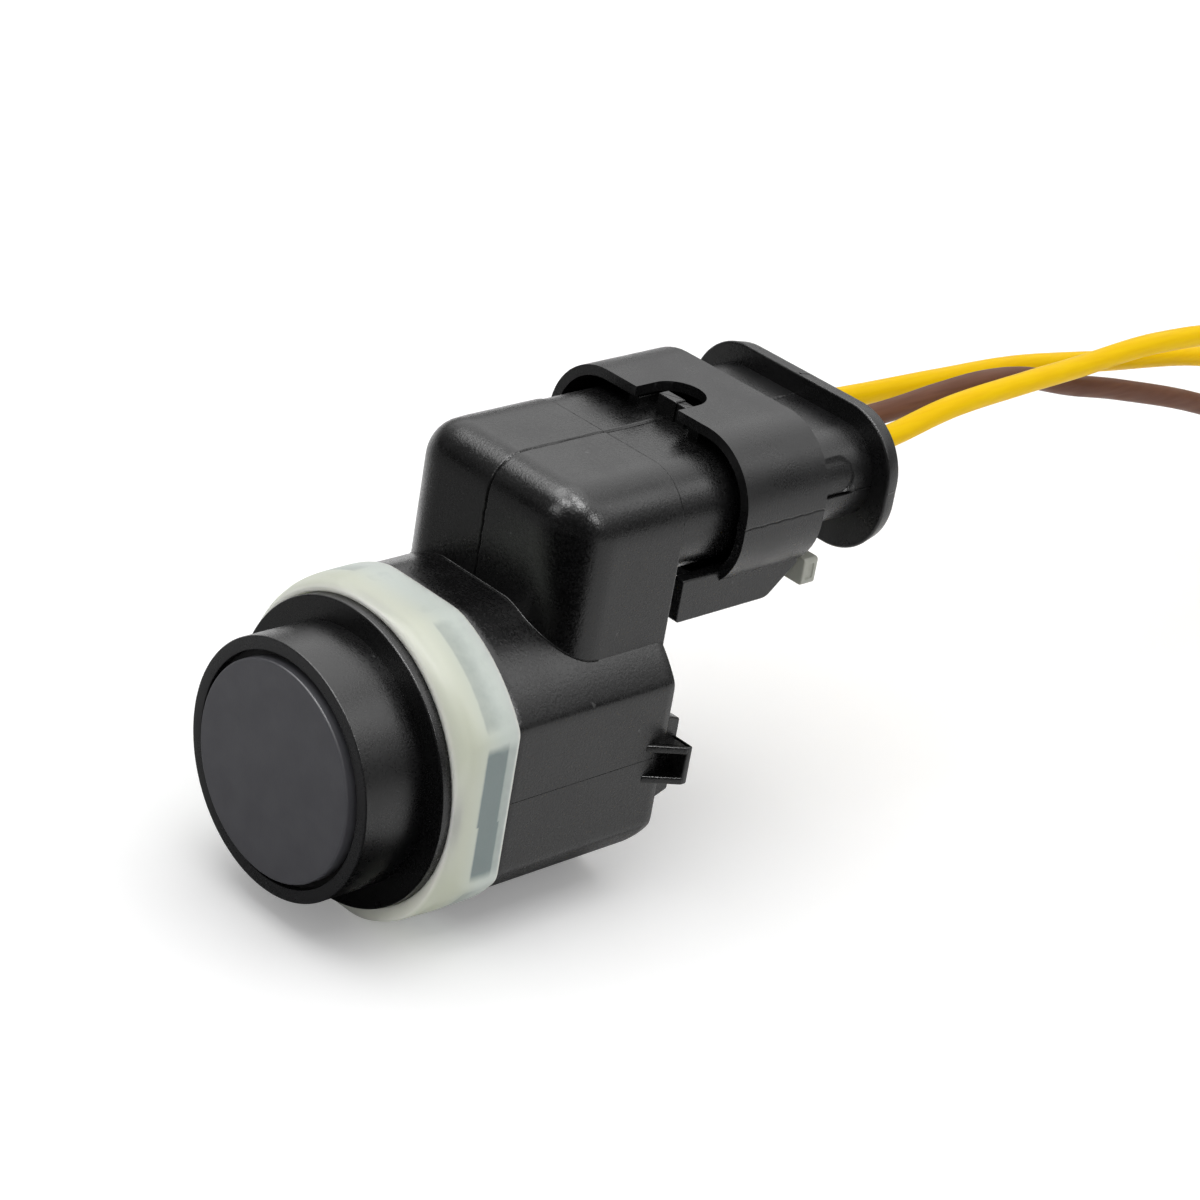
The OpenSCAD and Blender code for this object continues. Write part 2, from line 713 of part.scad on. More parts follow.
// Lead swept along its route: two rings for each stretch between route points.
module wire(x, route, tint) {
    sides = 8;
    path = concat([[x, terminal_front + terminal_len + 0.3, axis_z]], [[x, neck_rear, axis_z]], route);
    n = len(path) - 1;
    centre = concat([path[0]], [for (i = [1 : n - 1], t = [0, 0.5]) route_at(path, i, t)], [path[n]]);
    last = len(centre) - 1;
    points = [for (i = [0 : last])
        let (u = unit(centre[min(i + 1, last)] - centre[max(i - 1, 0)]))
        each tube_ring(centre[i], i < 2 ? [0, 1, 0] : u, wire_r, sides)];
    walls = [for (i = [0 : last - 1], k = [0 : sides - 1])
        let (j = (k + 1) % sides)
        [i * sides + k, i * sides + j, (i + 1) * sides + j, (i + 1) * sides + k]];
    front = [for (k = [0 : sides - 1]) sides - 1 - k];
    back = [for (k = [0 : sides - 1]) last * sides + k];
    color(tint) polyhedron(points, concat([front], walls, [back]), convexity = 4);
}

membrane_cup();
piezo_disc();
damping_foam();
decoupling_ring();
nose_collar();
support_ring();
housing();
circuit_board();
transformer();
driver_chip();
filter_capacitor();
color("red") piezo_lead(-1, 0);  // piezo_lead_left
color("white") piezo_lead(1, 0);  // piezo_lead_right
contact_pin(contact_x[0]);  // contact_pin_left
contact_pin(contact_x[1]);  // contact_pin_middle
contact_pin(contact_x[2]);  // contact_pin_right
potting();
plug_housing();
interface_seal();
terminal(contact_x[0]);  // terminal_left
terminal(contact_x[1]);  // terminal_middle
terminal(contact_x[2]);  // terminal_right
wire_seal(contact_x[0]);  // wire_seal_left
wire_seal(contact_x[1]);  // wire_seal_middle
wire_seal(contact_x[2]);  // wire_seal_right
lock_slider();
wire(contact_x[0], yellow_upper_route, yellow);  // wire_yellow_upper
wire(contact_x[1], brown_route, brown);  // wire_brown
wire(contact_x[2], yellow_lower_route, yellow);  // wire_yellow_lower
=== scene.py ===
import json
import math

import bmesh
import bpy
import numpy as np
from mathutils import Matrix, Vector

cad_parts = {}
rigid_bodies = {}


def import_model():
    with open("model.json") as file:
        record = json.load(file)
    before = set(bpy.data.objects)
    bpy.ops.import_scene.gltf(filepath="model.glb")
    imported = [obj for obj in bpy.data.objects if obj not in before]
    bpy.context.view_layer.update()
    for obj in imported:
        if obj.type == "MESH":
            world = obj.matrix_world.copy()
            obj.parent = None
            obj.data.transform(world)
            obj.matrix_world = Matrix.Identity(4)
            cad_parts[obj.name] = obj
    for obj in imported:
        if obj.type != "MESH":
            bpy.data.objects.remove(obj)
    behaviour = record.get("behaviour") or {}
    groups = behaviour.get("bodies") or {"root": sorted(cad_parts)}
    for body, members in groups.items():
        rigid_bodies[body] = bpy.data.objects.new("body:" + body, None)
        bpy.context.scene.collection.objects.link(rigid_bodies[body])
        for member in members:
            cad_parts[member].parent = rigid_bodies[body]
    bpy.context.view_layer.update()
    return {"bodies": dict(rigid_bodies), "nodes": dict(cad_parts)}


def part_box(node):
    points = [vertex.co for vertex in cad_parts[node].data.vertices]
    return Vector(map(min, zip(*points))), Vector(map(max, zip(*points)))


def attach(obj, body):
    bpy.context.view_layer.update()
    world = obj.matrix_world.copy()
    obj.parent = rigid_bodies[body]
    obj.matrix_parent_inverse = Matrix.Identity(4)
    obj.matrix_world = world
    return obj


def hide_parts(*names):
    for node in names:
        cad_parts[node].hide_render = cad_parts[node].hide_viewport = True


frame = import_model()
nodes = frame["nodes"]
mm = 0.001

# only the frame stays from Blender's first scene
kept = set(nodes.values()) | set(frame["bodies"].values())
for old in [o for o in bpy.data.objects if o not in kept]:
    bpy.data.objects.remove(old)
print("frame loaded:", len(nodes), "nodes")


# lowest and highest corner of a CAD node, in millimetres
def span(node):
    low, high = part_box(node)
    return np.array(low) / mm, np.array(high) / mm


ringLow, ringHigh = span("support_ring")
cupLow, cupHigh = span("membrane_cup")
plugLow, plugHigh = span("plug_housing")
lockLow, lockHigh = span("lock_slider")
collarHigh = span("nose_collar")[1]
housingHigh = span("housing")[1]
leadLow = span("wire_brown")[0]

# places that several pieces share
floorZ = ringLow[2] - 0.02  # a hair below the ring, so the two never flicker
plugAxis = np.mean(span("wire_seal_middle"), 0)[2]
bodyRear = ringHigh[1] + 14.5
sleeveFront = bodyRear + 4.8
plateFront = plugHigh[1] - 1.4


# new object in the scene
def addObject(name, data):
    made = bpy.data.objects.new(name, data)
    bpy.context.scene.collection.objects.link(made)
    return made


# matrix that stands an object at a place, with its three axes along the given directions
def placed(right, up, back, at):
    return Matrix([*np.column_stack([right, up, back, at]).tolist(), [0, 0, 0, 1]])


# each row of an array divided by its length
def unit(rows):
    return rows / np.linalg.norm(rows, axis=-1, keepdims=True)


# smooth step: 0 below low, 1 above high, and 3t^2 - 2t^3 between them
def ease(low, high, value):
    t = np.clip((value - low) / (high - low), 0, 1)
    return t * t * (3 - 2 * t)


# bell: 1 on a line and e to minus the squared distance over the width beside it
def bell(distance, wide):
    return np.exp(-(distance / wide) ** 2)


# wandering line: a slow and a fast sine wave added, each with its own size
def wander(way, slow, fast, shift, sizes=(0.03, 0.02)):
    return sizes[0] * np.sin(way * slow) + sizes[1] * np.sin(way * fast + shift)


# corner numbers of a grid's quads; the last column joins the first, and the last row may join the first row
def gridQuads(rows, cols, wrapRows=False):
    row = np.arange(rows if wrapRows else rows - 1)[:, None]
    col = np.arange(cols)[None, :]
    below, beside = (row + 1) % rows, (col + 1) % cols
    corners = (row * cols + col, row * cols + beside, below * cols + beside, below * cols + col)
    return np.stack(np.broadcast_arrays(*corners), -1).reshape(-1, 4)


# a part is points and faces: rings of points joined row by row, with both ends closed flat
# or, when the rows wrap, with the last ring joined to the first
def ringShell(rings, wrapRows=False):
    rows, cols = rings.shape[:2]
    faces = gridQuads(rows, cols, wrapRows).tolist()
    if not wrapRows:
        faces.append(list(range(cols)))
        faces.append(list(range((rows - 1) * cols, rows * cols)))
    return rings.reshape(-1, 3), faces


# a part and its mirror image across x = 0; makePiece turns the faces outward
def mirrored(part):
    return [(part[0] * np.array([side, 1, 1]), part[1]) for side in (1, -1)]


# round corners: an arc's centre lies on the corner's bisector at radius / sin(half the angle),
# and the arc turns between the touch points, radius / tan(half the angle) away from the corner
def roundOff(corners, radii, steps=6):
    at = np.asarray(corners, float)
    radius = np.broadcast_to(np.asarray(radii, float), len(at))[:, None]
    toLast = unit(np.roll(at, 1, 0) - at)
    toNext = unit(np.roll(at, -1, 0) - at)
    half = np.arccos(np.clip((toLast * toNext).sum(1), -1, 1))[:, None] / 2
    centre = at + unit(toLast + toNext) * radius / np.sin(half)
    first = (at + toLast * radius / np.tan(half) - centre)[:, None]
    last = (at + toNext * radius / np.tan(half) - centre)[:, None]
    turn = (np.pi - 2 * half)[:, None]
    share = np.linspace(0, 1, steps)[None, :, None]
    arc = (np.sin((1 - share) * turn) * first + np.sin(share * turn) * last) / np.sin(turn)
    return (centre[:, None] + arc).reshape(-1, 2)


# rectangle with round corners about (0, level)
def pill(width, height, radius, level, steps=10):
    w, h = width / 2, height / 2
    return roundOff([(w, level - h), (w, level + h), (-w, level + h), (-w, level - h)], radius, steps)


# the same closed outline with its points at even distances along it
def evenly(outline, spacing):
    closed = np.vstack([outline, outline[:1]])
    run = np.r_[0, np.cumsum(np.linalg.norm(np.diff(closed, axis=0), axis=1))]
    at = np.linspace(0, run[-1], int(round(run[-1] / spacing)), endpoint=False)
    return np.stack([np.interp(at, run, closed[:, 0]), np.interp(at, run, closed[:, 1])], 1)


# outward direction along a closed outline that runs anticlockwise: its tangent turned by a right angle
def outward(outline):
    along = unit(np.roll(outline, -1, 0) - np.roll(outline, 1, 0))
    return np.stack([along[:, 1], -along[:, 0]], 1)


# two outline coordinates and a depth put on the axes that are named in order, such as "xzy"
def onAxes(flat, depth, axes):
    order = ["xyz".index(letter) for letter in axes]
    points = np.empty(flat.shape[:-1] + (3,))
    points[..., order[0]] = flat[..., 0]
    points[..., order[1]] = flat[..., 1]
    points[..., order[2]] = depth
    return points


# outline carried straight from low to high; at both ends it draws in along its normals by edge * (1 - sin)
# while it advances by edge * (1 - cos), which rounds the rims, and a taper draws the high end in
def slab(outline, low, high, edge, axes, steps=5, taper=0.0):
    turn = np.linspace(0, np.pi / 2, steps)
    inset = edge * (1 - np.sin(turn))
    advance = edge * (1 - np.cos(turn))
    insets = np.r_[inset, inset[::-1] + taper][:, None, None]
    depth = np.r_[low + advance, (high - advance)[::-1]][:, None]
    return ringShell(onAxes(outline[None] - outward(outline)[None] * insets, depth, axes))


# block between two values on each axis, with round upright edges and round rims
def block(x, y, z, corner=0.15, edge=0.1):
    corners = [(x[1], y[0]), (x[1], y[1]), (x[0], y[1]), (x[0], y[0])]
    return slab(roundOff(corners, corner, 5), z[0], z[1], edge, "xyz")


# closed profile of (radius, y) points turned about the line along y through (x, z)
def turned(profile, sides=128, x=0.0, z=0.0):
    angle = np.linspace(0, 2 * np.pi, sides, endpoint=False)[None, :]
    radius, depth = profile[:, :1], profile[:, 1:]
    rings = np.stack([x + radius * np.cos(angle), depth + 0 * angle, z + radius * np.sin(angle)], -1)
    return ringShell(rings, wrapRows=True)


# smooth line through route points: on each stretch a cubic whose slope at a point
# is half the step between that point's neighbours
def smoothRoute(points, steps):
    p = np.asarray(points, float)
    i = np.arange(len(p) - 1)
    a, b, c, d = (p[k][:, None] for k in (np.maximum(i - 1, 0), i, i + 1, np.minimum(i + 2, len(p) - 1)))
    t = np.linspace(0, 1, steps, endpoint=False)[None, :, None]
    square, cube = 2 * a - 5 * b + 4 * c - d, 3 * b - a - 3 * c + d
    line = 0.5 * (2 * b + (c - a) * t + square * t ** 2 + cube * t ** 3)
    return np.vstack([line.reshape(-1, 3), p[-1:]])


# tube: at each point of the line a circle square to the line's direction
def tube(line, radius, sides):
    along = unit(np.gradient(line, axis=0))
    right = unit(np.cross(along, (0.0, 0.0, 1.0)))
    up = np.cross(right, along)
    angle = np.linspace(0, 2 * np.pi, sides, endpoint=False)[None, :, None]
    return ringShell(line[:, None] + radius * (np.cos(angle) * right[:, None] + np.sin(angle) * up[:, None]))


# one part as a clean mesh in metres: doubles merged, faces turned outward
def cleanPart(part, recalc=True):
    mesh = bpy.data.meshes.new("part")
    mesh.from_pydata(np.asarray(part[0]) * mm, [], part[1])
    if len(part) > 2:
        mesh.polygons.foreach_set("material_index", np.full(len(mesh.polygons), part[2], dtype=np.int32))
    shape = bmesh.new()
    shape.from_mesh(mesh)
    bmesh.ops.remove_doubles(shape, verts=shape.verts, dist=1e-6)
    if recalc:
        bmesh.ops.recalc_face_normals(shape, faces=shape.faces)
    shape.to_mesh(mesh)
    shape.free()
    return mesh


# a part after Blender's own modifiers, as points in millimetres and faces again
def afterModifiers(part, addModifiers, recalc=True):
    draft = addObject("draft", cleanPart(part, recalc))
    addModifiers(draft)
    bpy.context.view_layer.update()
    shaped = draft.evaluated_get(bpy.context.evaluated_depsgraph_get()).to_mesh()
    points = np.empty(len(shaped.vertices) * 3, np.float32)
    shaped.vertices.foreach_get("co", points)
    corners = np.empty(len(shaped.loops), np.int32)
    shaped.loops.foreach_get("vertex_index", corners)
    starts = np.empty(len(shaped.polygons), np.int32)
    shaped.polygons.foreach_get("loop_start", starts)
    faces = [run.tolist() for run in np.split(corners, starts[1:])]
    bpy.data.meshes.remove(draft.data)
    return points.reshape(-1, 3).astype(float) / mm, faces


# a part minus other closed parts, by the exact Boolean
def cutAway(part, cutters):
    tools = [addObject("tool", cleanPart(cutter)) for cutter in cutters]

    def addCuts(draft):
        for tool in tools:
            cut = draft.modifiers.new("cut", "BOOLEAN")
            cut.operation, cut.solver, cut.object = "DIFFERENCE", "EXACT", tool

    result = afterModifiers(part, addCuts)
    for tool in tools:
        bpy.data.meshes.remove(tool.data)
    return result


# joins parts into one piece at the origin, smooth but for crisp edges, and books it with the frame
def makePiece(name, parts, materials, body, replaced, crisp=38):
    whole = bmesh.new()
    for part in parts:
        mesh = cleanPart(part)
        whole.from_mesh(mesh)
        bpy.data.meshes.remove(mesh)
    mesh = bpy.data.meshes.new(name)
    whole.to_mesh(mesh)
    whole.free()
    mesh.shade_smooth()
    mesh.set_sharp_from_angle(angle=math.radians(crisp))
    for material in materials:
        mesh.materials.append(material)
    piece = addObject(name, mesh)
    even = piece.modifiers.new("even shading", "WEIGHTED_NORMAL")
    even.keep_sharp = True
    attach(piece, body)
    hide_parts(replaced)
    print("piece", name, len(mesh.polygons), "faces")
    return piece


# new material with its Principled shader and the object's own coordinates
def startFinish(name, colour, roughness, specular=0.5):
    material = bpy.data.materials.new(name)
    material.use_nodes = True
    tree = material.node_tree
    shader = tree.nodes["Principled BSDF"]
    shader.inputs["Base Color"].default_value = (*colour, 1)
    shader.inputs["Roughness"].default_value = roughness
    shader.inputs["Specular IOR Level"].default_value = specular
    place = tree.nodes.new("ShaderNodeTexCoord").outputs["Object"]
    return material, tree, shader, place


# noise of a given grain size in millimetres, stretched where stretch is not 1 on an axis
def addNoise(tree, place, grain, detail=3.0, rough=0.55, stretch=None):
    noise = tree.nodes.new("ShaderNodeTexNoise")
    noise.inputs["Scale"].default_value = 1 / (grain * mm)
    noise.inputs["Detail"].default_value = detail
    noise.inputs["Roughness"].default_value = rough
    if stretch:
        spread = tree.nodes.new("ShaderNodeMapping")
        spread.inputs["Scale"].default_value = stretch
        tree.links.new(place, spread.inputs["Vector"])
        place = spread.outputs["Vector"]
    tree.links.new(place, noise.inputs["Vector"])
    return noise.outputs["Fac"]


# value taken from one range to another, clamped
def addRange(tree, value, fromLow, fromHigh, toLow, toHigh):
    remap = tree.nodes.new("ShaderNodeMapRange")
    for socket, number in zip(("From Min", "From Max", "To Min", "To Max"), (fromLow, fromHigh, toLow, toHigh)):
        remap.inputs[socket].default_value = number
    tree.links.new(value, remap.inputs["Value"])
    return remap.outputs["Result"]


# two values put together by one operation; either may be a plain number
def addMath(tree, operation, first, second):
    sums = tree.nodes.new("ShaderNodeMath")
    sums.operation = operation
    for socket, value in zip(sums.inputs, (first, second)):
        if isinstance(value, (int, float)):
            socket.default_value = value
        else:
            tree.links.new(value, socket)
    return sums.outputs["Value"]


# colour between two others by a factor; either colour may be a socket
def addBlend(tree, factor, first, second):
    mix = tree.nodes.new("ShaderNodeMix")
    mix.data_type = "RGBA"
    tree.links.new(factor, mix.inputs["Factor"])
    for socket, value in (("A", first), ("B", second)):
        target = next(i for i in mix.inputs if i.name == socket and i.type == "RGBA")
        if isinstance(value, tuple):
            target.default_value = (*value, 1)
        else:
            tree.links.new(value, target)
    return next(o for o in mix.outputs if o.type == "RGBA")


# x, y and z of a vector
def addSplit(tree, vector):
    split = tree.nodes.new("ShaderNodeSeparateXYZ")
    tree.links.new(vector, split.inputs["Vector"])
    return split.outputs


# relief from a height, its depth in millimetres
def addRelief(tree, shader, height, depth):
    bump = tree.nodes.new("ShaderNodeBump")
    bump.inputs["Distance"].default_value = depth * mm
    tree.links.new(height, bump.inputs["Height"])
    tree.links.new(bump.outputs["Normal"], shader.inputs["Normal"])


# roughness that follows a noise, from down below its middle to up above it
def addSheen(tree, shader, noise, middle, down=0.06, up=0.08):
    tree.links.new(addRange(tree, noise, 0.3, 0.7, middle - down, middle + up), shader.inputs["Roughness"])


# light scattered inside the material
def addScatter(shader, weight, radius, scale):
    shader.inputs["Subsurface Weight"].default_value = weight
    shader.inputs["Subsurface Radius"].default_value = radius
    shader.inputs["Subsurface Scale"].default_value = scale


# simple finish from a fine grain and slow clouds: the relief follows the grain,
# the colour and the roughness each follow the one of them that the look names
def plainFinish(name, look):
    middle = look["roughness"]
    finish, tree, shader, place = startFinish(name, look["colour"], middle, look.get("specular", 0.5))
    shader.inputs["Metallic"].default_value = look.get("metallic", 0.0)
    noises = {kind: addNoise(tree, place, *look[kind]) for kind in ("grain", "cloud")}
    factor = addRange(tree, noises[look.get("toneBy", "cloud")], *look.get("toneRange", (0.32, 0.68)), 0, 1)
    tree.links.new(addBlend(tree, factor, look["colour"], look["shade"]), shader.inputs["Base Color"])
    addSheen(tree, shader, noises[look.get("sheenBy", "grain")], middle, *look.get("sheen", (0.06, 0.08)))
    addRelief(tree, shader, noises["grain"], look["deep"])
    if "scatter" in look:
        addScatter(shader, *look["scatter"])
    return finish


# moulded plastic: eroded grain in two sizes, roughness that wanders, and pale dust specks
def mouldedPlastic(name, look):
    finish, tree, shader, place = startFinish(name, look["colour"], look["roughness"], look["specular"])
    grain = addNoise(tree, place, look["grain"], 2.0, 0.6)
    fine = addNoise(tree, place, look["grain"] * 0.38, 2.0, 0.5)
    patch = addNoise(tree, place, 3.5, 2.0, 0.5)
    dust = addNoise(tree, place, look["dustSize"], 0.0, 0.0)
    relief = addMath(tree, "ADD", grain, addMath(tree, "MULTIPLY", fine, 0.45))
    addRelief(tree, shader, relief, look["grainDeep"])
    rough = addMath(tree, "ADD", addRange(tree, patch, 0.3, 0.7, -0.05, 0.05),
                    addRange(tree, grain, 0.3, 0.7, look["roughness"] - 0.05, look["roughness"] + 0.07))
    tree.links.new(rough, shader.inputs["Roughness"])
    tone = addBlend(tree, addRange(tree, grain, 0.35, 0.7, 0, 1), look["colour"], look["highColour"])
    speck = addRange(tree, dust, look["dustFrom"], look["dustFrom"] + 0.05, 0, 1)
    tree.links.new(addBlend(tree, speck, tone, look["dustColour"]), shader.inputs["Base Color"])
    return finish


# camera: placed by azimuth, elevation and roll about the target, with the focal length in photo pixels
photoView = {
    "azimuth": 42.752,
    "elevation": 26.337,
    "roll": 9.954,
    "distance": 240.74,
    "target": (6.321, 21.141, 10.862),
    "focalPixels": 3580.25,
    "imageWidth": 1200,
    "sensorWidth": 36.0,
}
az, el, roll = (math.radians(photoView[k]) for k in ("azimuth", "elevation", "roll"))
sideways = np.array([math.cos(az), math.sin(az), 0])
back = np.array([math.sin(az) * math.cos(el), -math.cos(az) * math.cos(el), math.sin(el)])
upward = np.cross(back, sideways)
right = math.cos(roll) * sideways + math.sin(roll) * upward
up = math.cos(roll) * upward - math.sin(roll) * sideways
lens = bpy.data.cameras.new("photo camera")
lens.sensor_width = photoView["sensorWidth"]
lens.lens = photoView["focalPixels"] / photoView["imageWidth"] * photoView["sensorWidth"]
lens.clip_start = 0.01
camera = addObject("photo camera", lens)
seat = np.array(photoView["target"]) + back * photoView["distance"]
camera.matrix_world = placed(right, up, back, seat * mm)
bpy.context.scene.camera = camera
print("camera set")


# leads: a smooth insulated tube with a copper end, cut square
leads = {
    "diameter": 1.7,
    "sides": 24,
    "stepsPerStretch": 10,
    "copperShare": 0.6,
    "copperSpan": (-0.4, 0.12),
    "copper": (0.72, 0.32, 0.16),
    # painted shade for the gaps between the cut strands
    "copperGapShade": (0.25, 0.09, 0.04),
    "wires": {
        "wire_yellow_upper": {"seal": "wire_seal_left", "slot": "yellow_lead", "length": 0.128, "route": [
            (-4, 47, 15.7), (-4, 56, 15.2), (-4, 66, 14.8), (-4, 75, 14.3), (-4, 86, 12.8), (-4, 100, 10.8),
            (-4, 112, 7), (-5, 123, 1), (-6, 133, -5.5), (-7, 144, -9.7), (-8, 158, -10.3)]},
        "wire_brown": {"seal": "wire_seal_middle", "slot": "brown_lead", "length": 0.123, "route": [
            (0, 47, 15.7), (0, 55, 15.8), (0, 61, 16.2), (0, 66, 16.3), (0, 71, 15.7), (0, 77, 14), (0, 84, 12.3),
            (0, 95, 9.1), (0, 108, 4), (0, 119, -2), (1, 129, -7.6), (2, 140, -10.1), (3, 153, -10.3)]},
        "wire_yellow_lower": {"seal": "wire_seal_right", "slot": "yellow_lead", "length": 0.121, "route": [
            (4, 47, 15.8), (3.7, 52, 16.2), (3, 59, 16.8), (2.2, 68, 16.7), (1.6, 75, 16.5), (1, 86, 16.5),
            (1, 97, 15.2), (2, 108, 11), (3, 118, 4.5), (5, 128, -3), (7, 138, -9), (9, 149, -10.3)]},
    },
}
# drawn insulation: faint streaks along the lead and a little waviness
leadSkin = {"specular": 0.06, "grain": (0.35, 3.0, 0.5, (1.0, 0.06, 1.0)), "cloud": (2.2, 1.0, 0.4),
            "toneBy": "grain", "toneRange": (0.35, 0.7), "sheenBy": "cloud", "deep": 0.006}
leadLooks = {
    "yellow_lead": {"colour": (0.94, 0.60, 0.001), "shade": (0.90, 0.54, 0.001), "roughness": 0.36},
    "brown_lead": {"colour": (0.165, 0.079, 0.053), "shade": (0.135, 0.063, 0.042), "roughness": 0.4},
}


# cut copper strands: small round dents on a warm metal, with painted shade that darkens the gaps between the strands
def strandEnd():
    finish, tree, shader, place = startFinish("copperStrands", leads["copper"], 0.3)
    shader.inputs["Metallic"].default_value = 1.0
    cells = tree.nodes.new("ShaderNodeTexVoronoi")
    cells.inputs["Scale"].default_value = 1 / (0.19 * mm)
    tree.links.new(place, cells.inputs["Vector"])
    away = cells.outputs["Distance"]
    addRelief(tree, shader, addRange(tree, away, 0.1, 0.6, 1, 0), 0.05)
    # painted shade: the colour darkens towards the gaps between the strands
    tone = addBlend(tree, addRange(tree, away, 0.2, 0.6, 0, 1), leads["copper"], leads["copperGapShade"])
    tree.links.new(tone, shader.inputs["Base Color"])
    return finish


copperStrands = strandEnd()
leadSkins = {slot: plainFinish(slot + "_skin", {**leadSkin, **look}) for slot, look in leadLooks.items()}
leadR = leads["diameter"] / 2
for name, wire in leads["wires"].items():
    x = np.round(np.mean(span(wire["seal"]), 0)[0], 3)
    start = [(x, leadLow[1], plugAxis), (x, plateFront, plugAxis)]
    line = smoothRoute(start + wire["route"], leads["stepsPerStretch"])
    end = line[-1] + unit(line[-1] - line[-2])[None] * np.array(leads["copperSpan"])[:, None]
    parts = [tube(line, leadR, leads["sides"]), (*tube(end, leads["copperShare"] * leadR, leads["sides"]), 1)]
    skins = [leadSkins[wire["slot"]], copperStrands]
    lead = makePiece("lead_" + name[5:], parts, skins, "sensor", name)
print("leads routed")


# membrane: drawn cup with a rounded rim, in baked lacquer with very fine orange peel and slow clouds
cup = {"wall": 1.0, "floor": 0.8, "rounds": [0.001, 0.17, 0.15, 0.15, 0.3, 0.001]}
slateLacquer = {"colour": (0.072, 0.072, 0.080), "shade": (0.064, 0.064, 0.072), "roughness": 0.36,
                "grain": (0.16, 2.0, 0.55), "cloud": (2.4, 3.0, 0.55), "toneRange": (0.35, 0.65),
                "sheenBy": "cloud", "sheen": (0.04, 0.06), "deep": 0.006}
cupR, cupFloor = cupHigh[0], cupLow[1] + cup["floor"]
cupIn = cupR - cup["wall"]
cupProfile = roundOff([(0, cupLow[1]), (cupR, cupLow[1]), (cupR, cupHigh[1]), (cupIn, cupHigh[1]),
                       (cupIn, cupFloor), (0, cupFloor)], cup["rounds"], 9)
makePiece("membrane", [turned(cupProfile, 192)], [plainFinish("slateLacquer", slateLacquer)], "sensor",
          "membrane_cup")


# nose collar: rim, nose, flange and spigot in one turned moulding
collar = {
    "pocketR": cupR + 0.45,
    "noseR": 9.1,
    "noseLength": 5.0,
    "flangeRear": 6.6,
    "spigotR": 9.55,
    "throatR": cupR - 1.6,
    "pocketRear": cupHigh[1] + 0.75,
    "rounds": [0.06, 0.12, 0.001, 0.14, 0.08, 0.08, 0.25, 0.1, 0.1, 0.1],
    "rimFace": (0.02, 0.08),
}
noseLook = {
    "colour": (0.003, 0.003, 0.0032),
    "highColour": (0.005, 0.005, 0.0053),
    "rimColour": (0.016, 0.016, 0.017),
    "roughness": 0.30,
    "specular": 0.44,
    "grain": 0.16,
    "grainDeep": 0.011,
    "dustSize": 0.5,
    "dustFrom": 0.85,
    "dustColour": (0.06, 0.06, 0.06),
}
collarProfile = roundOff(
    [(collar["pocketR"], 0), (collar["noseR"], 0), (collar["noseR"], collar["noseLength"]),
     (collarHigh[0], collar["noseLength"]), (collarHigh[0], collar["flangeRear"]),
     (collar["spigotR"], collar["flangeRear"]), (collar["spigotR"], collarHigh[1]),
     (collar["throatR"], collarHigh[1]), (collar["throatR"], collar["pocketRear"]),
     (collar["pocketR"], collar["pocketRear"])], collar["rounds"], 7)


# nose plastic with a paler, matt rim: the colour already linked is blended by depth
def noseMould():
    finish = mouldedPlastic("noseMould", noseLook)
    tree = finish.node_tree
    base = tree.nodes["Principled BSDF"].inputs["Base Color"]
    depth = addSplit(tree, tree.nodes.new("ShaderNodeTexCoord").outputs["Object"])["Y"]
    front = addRange(tree, depth, *(y * mm for y in collar["rimFace"]), 1, 0)
    tree.links.new(addBlend(tree, front, base.links[0].from_socket, noseLook["rimColour"]), base)
    return finish


makePiece("nose", [turned(collarProfile, 192)], [noseMould()], "sensor", "nose_collar")


# outline of the body and the ring about the nose axis
section = {
    "halfW": 10.75,
    "halfH": 10.95,
    "arcR": 12.7,
    "shift": 1.25,
    "soft": 0.1,
    "columns": 720,
    "besideParting": (-0.24, -0.12, 0.12, 0.24),
}
aroundAxis = np.linspace(0, 2 * np.pi, section["columns"], endpoint=False)
fineColumns = np.radians(np.add.outer([0, 180], section["besideParting"]).ravel() % 360)
aroundAxis = np.sort(np.r_[aroundAxis, fineColumns])


# distance from the nose axis to the outline: the nearest of the side flat, the top or bottom flat
# and the wide arc whose centre is shifted along z, joined by a soft minimum
def sectionRadius(grow):
    c, s = np.abs(np.cos(aroundAxis)) + 1e-9, np.abs(np.sin(aroundAxis)) + 1e-9
    arc = -section["shift"] * s + np.sqrt((section["arcR"] + grow) ** 2 - (section["shift"] * c) ** 2)
    limits = np.stack([(section["halfW"] + grow) / c, (section["halfH"] + grow) / s, arc])
    return -section["soft"] * np.logaddexp.reduce(-limits / section["soft"], axis=0)


# rows of radii and depths turned into rings about the nose axis
def polarRings(rows):
    radii = np.stack([np.broadcast_to(r, aroundAxis.shape) for r, y in rows])
    depth = np.array([y for r, y in rows])[:, None] + 0 * radii
    return np.stack([radii * np.cos(aroundAxis), depth, radii * np.sin(aroundAxis)], -1)


# milky ring: cone in front, the body's flats behind, bored and recessed from the front
ring = {
    "grow": 0.3,
    "lipR": 11.2,
    "lipLow": 0.7,
    "lipReach": (0.25, 0.85),
    "lipRound": [(0.07, 0.0), (0.02, 0.02)],
    "slope": 0.75,
    "lipSoft": 0.12,
    "coneSoft": 0.4,
    "coneLength": 1.2,
    "rows": 34,
    "recessR": 10.85,
    "recessRear": 6.6,
    "bore": 9.6,
    "edge": 0.12,
    "cloudFrom": 8.1,
    "cloudTo": 9.95,
    "cloudSoft": 0.12,
    "cloudStep": 0.16,
    "cloudStepZ": -0.8,
    "corners": (26.9, 72.4),
    "colour": (0.61, 0.635, 0.53),
    "rearColour": (0.60, 0.65, 0.605),
    "cloudColour": (0.22, 0.27, 0.265),
    # a pale colour painted as a highlight along the lip and the rear edge
    "edgeHighlightColour": (0.74, 0.75, 0.66),
    "roughness": 0.42,
}
ringSection = sectionRadius(ring["grow"])
ringFront, ringRear = ringLow[1], ringHigh[1]


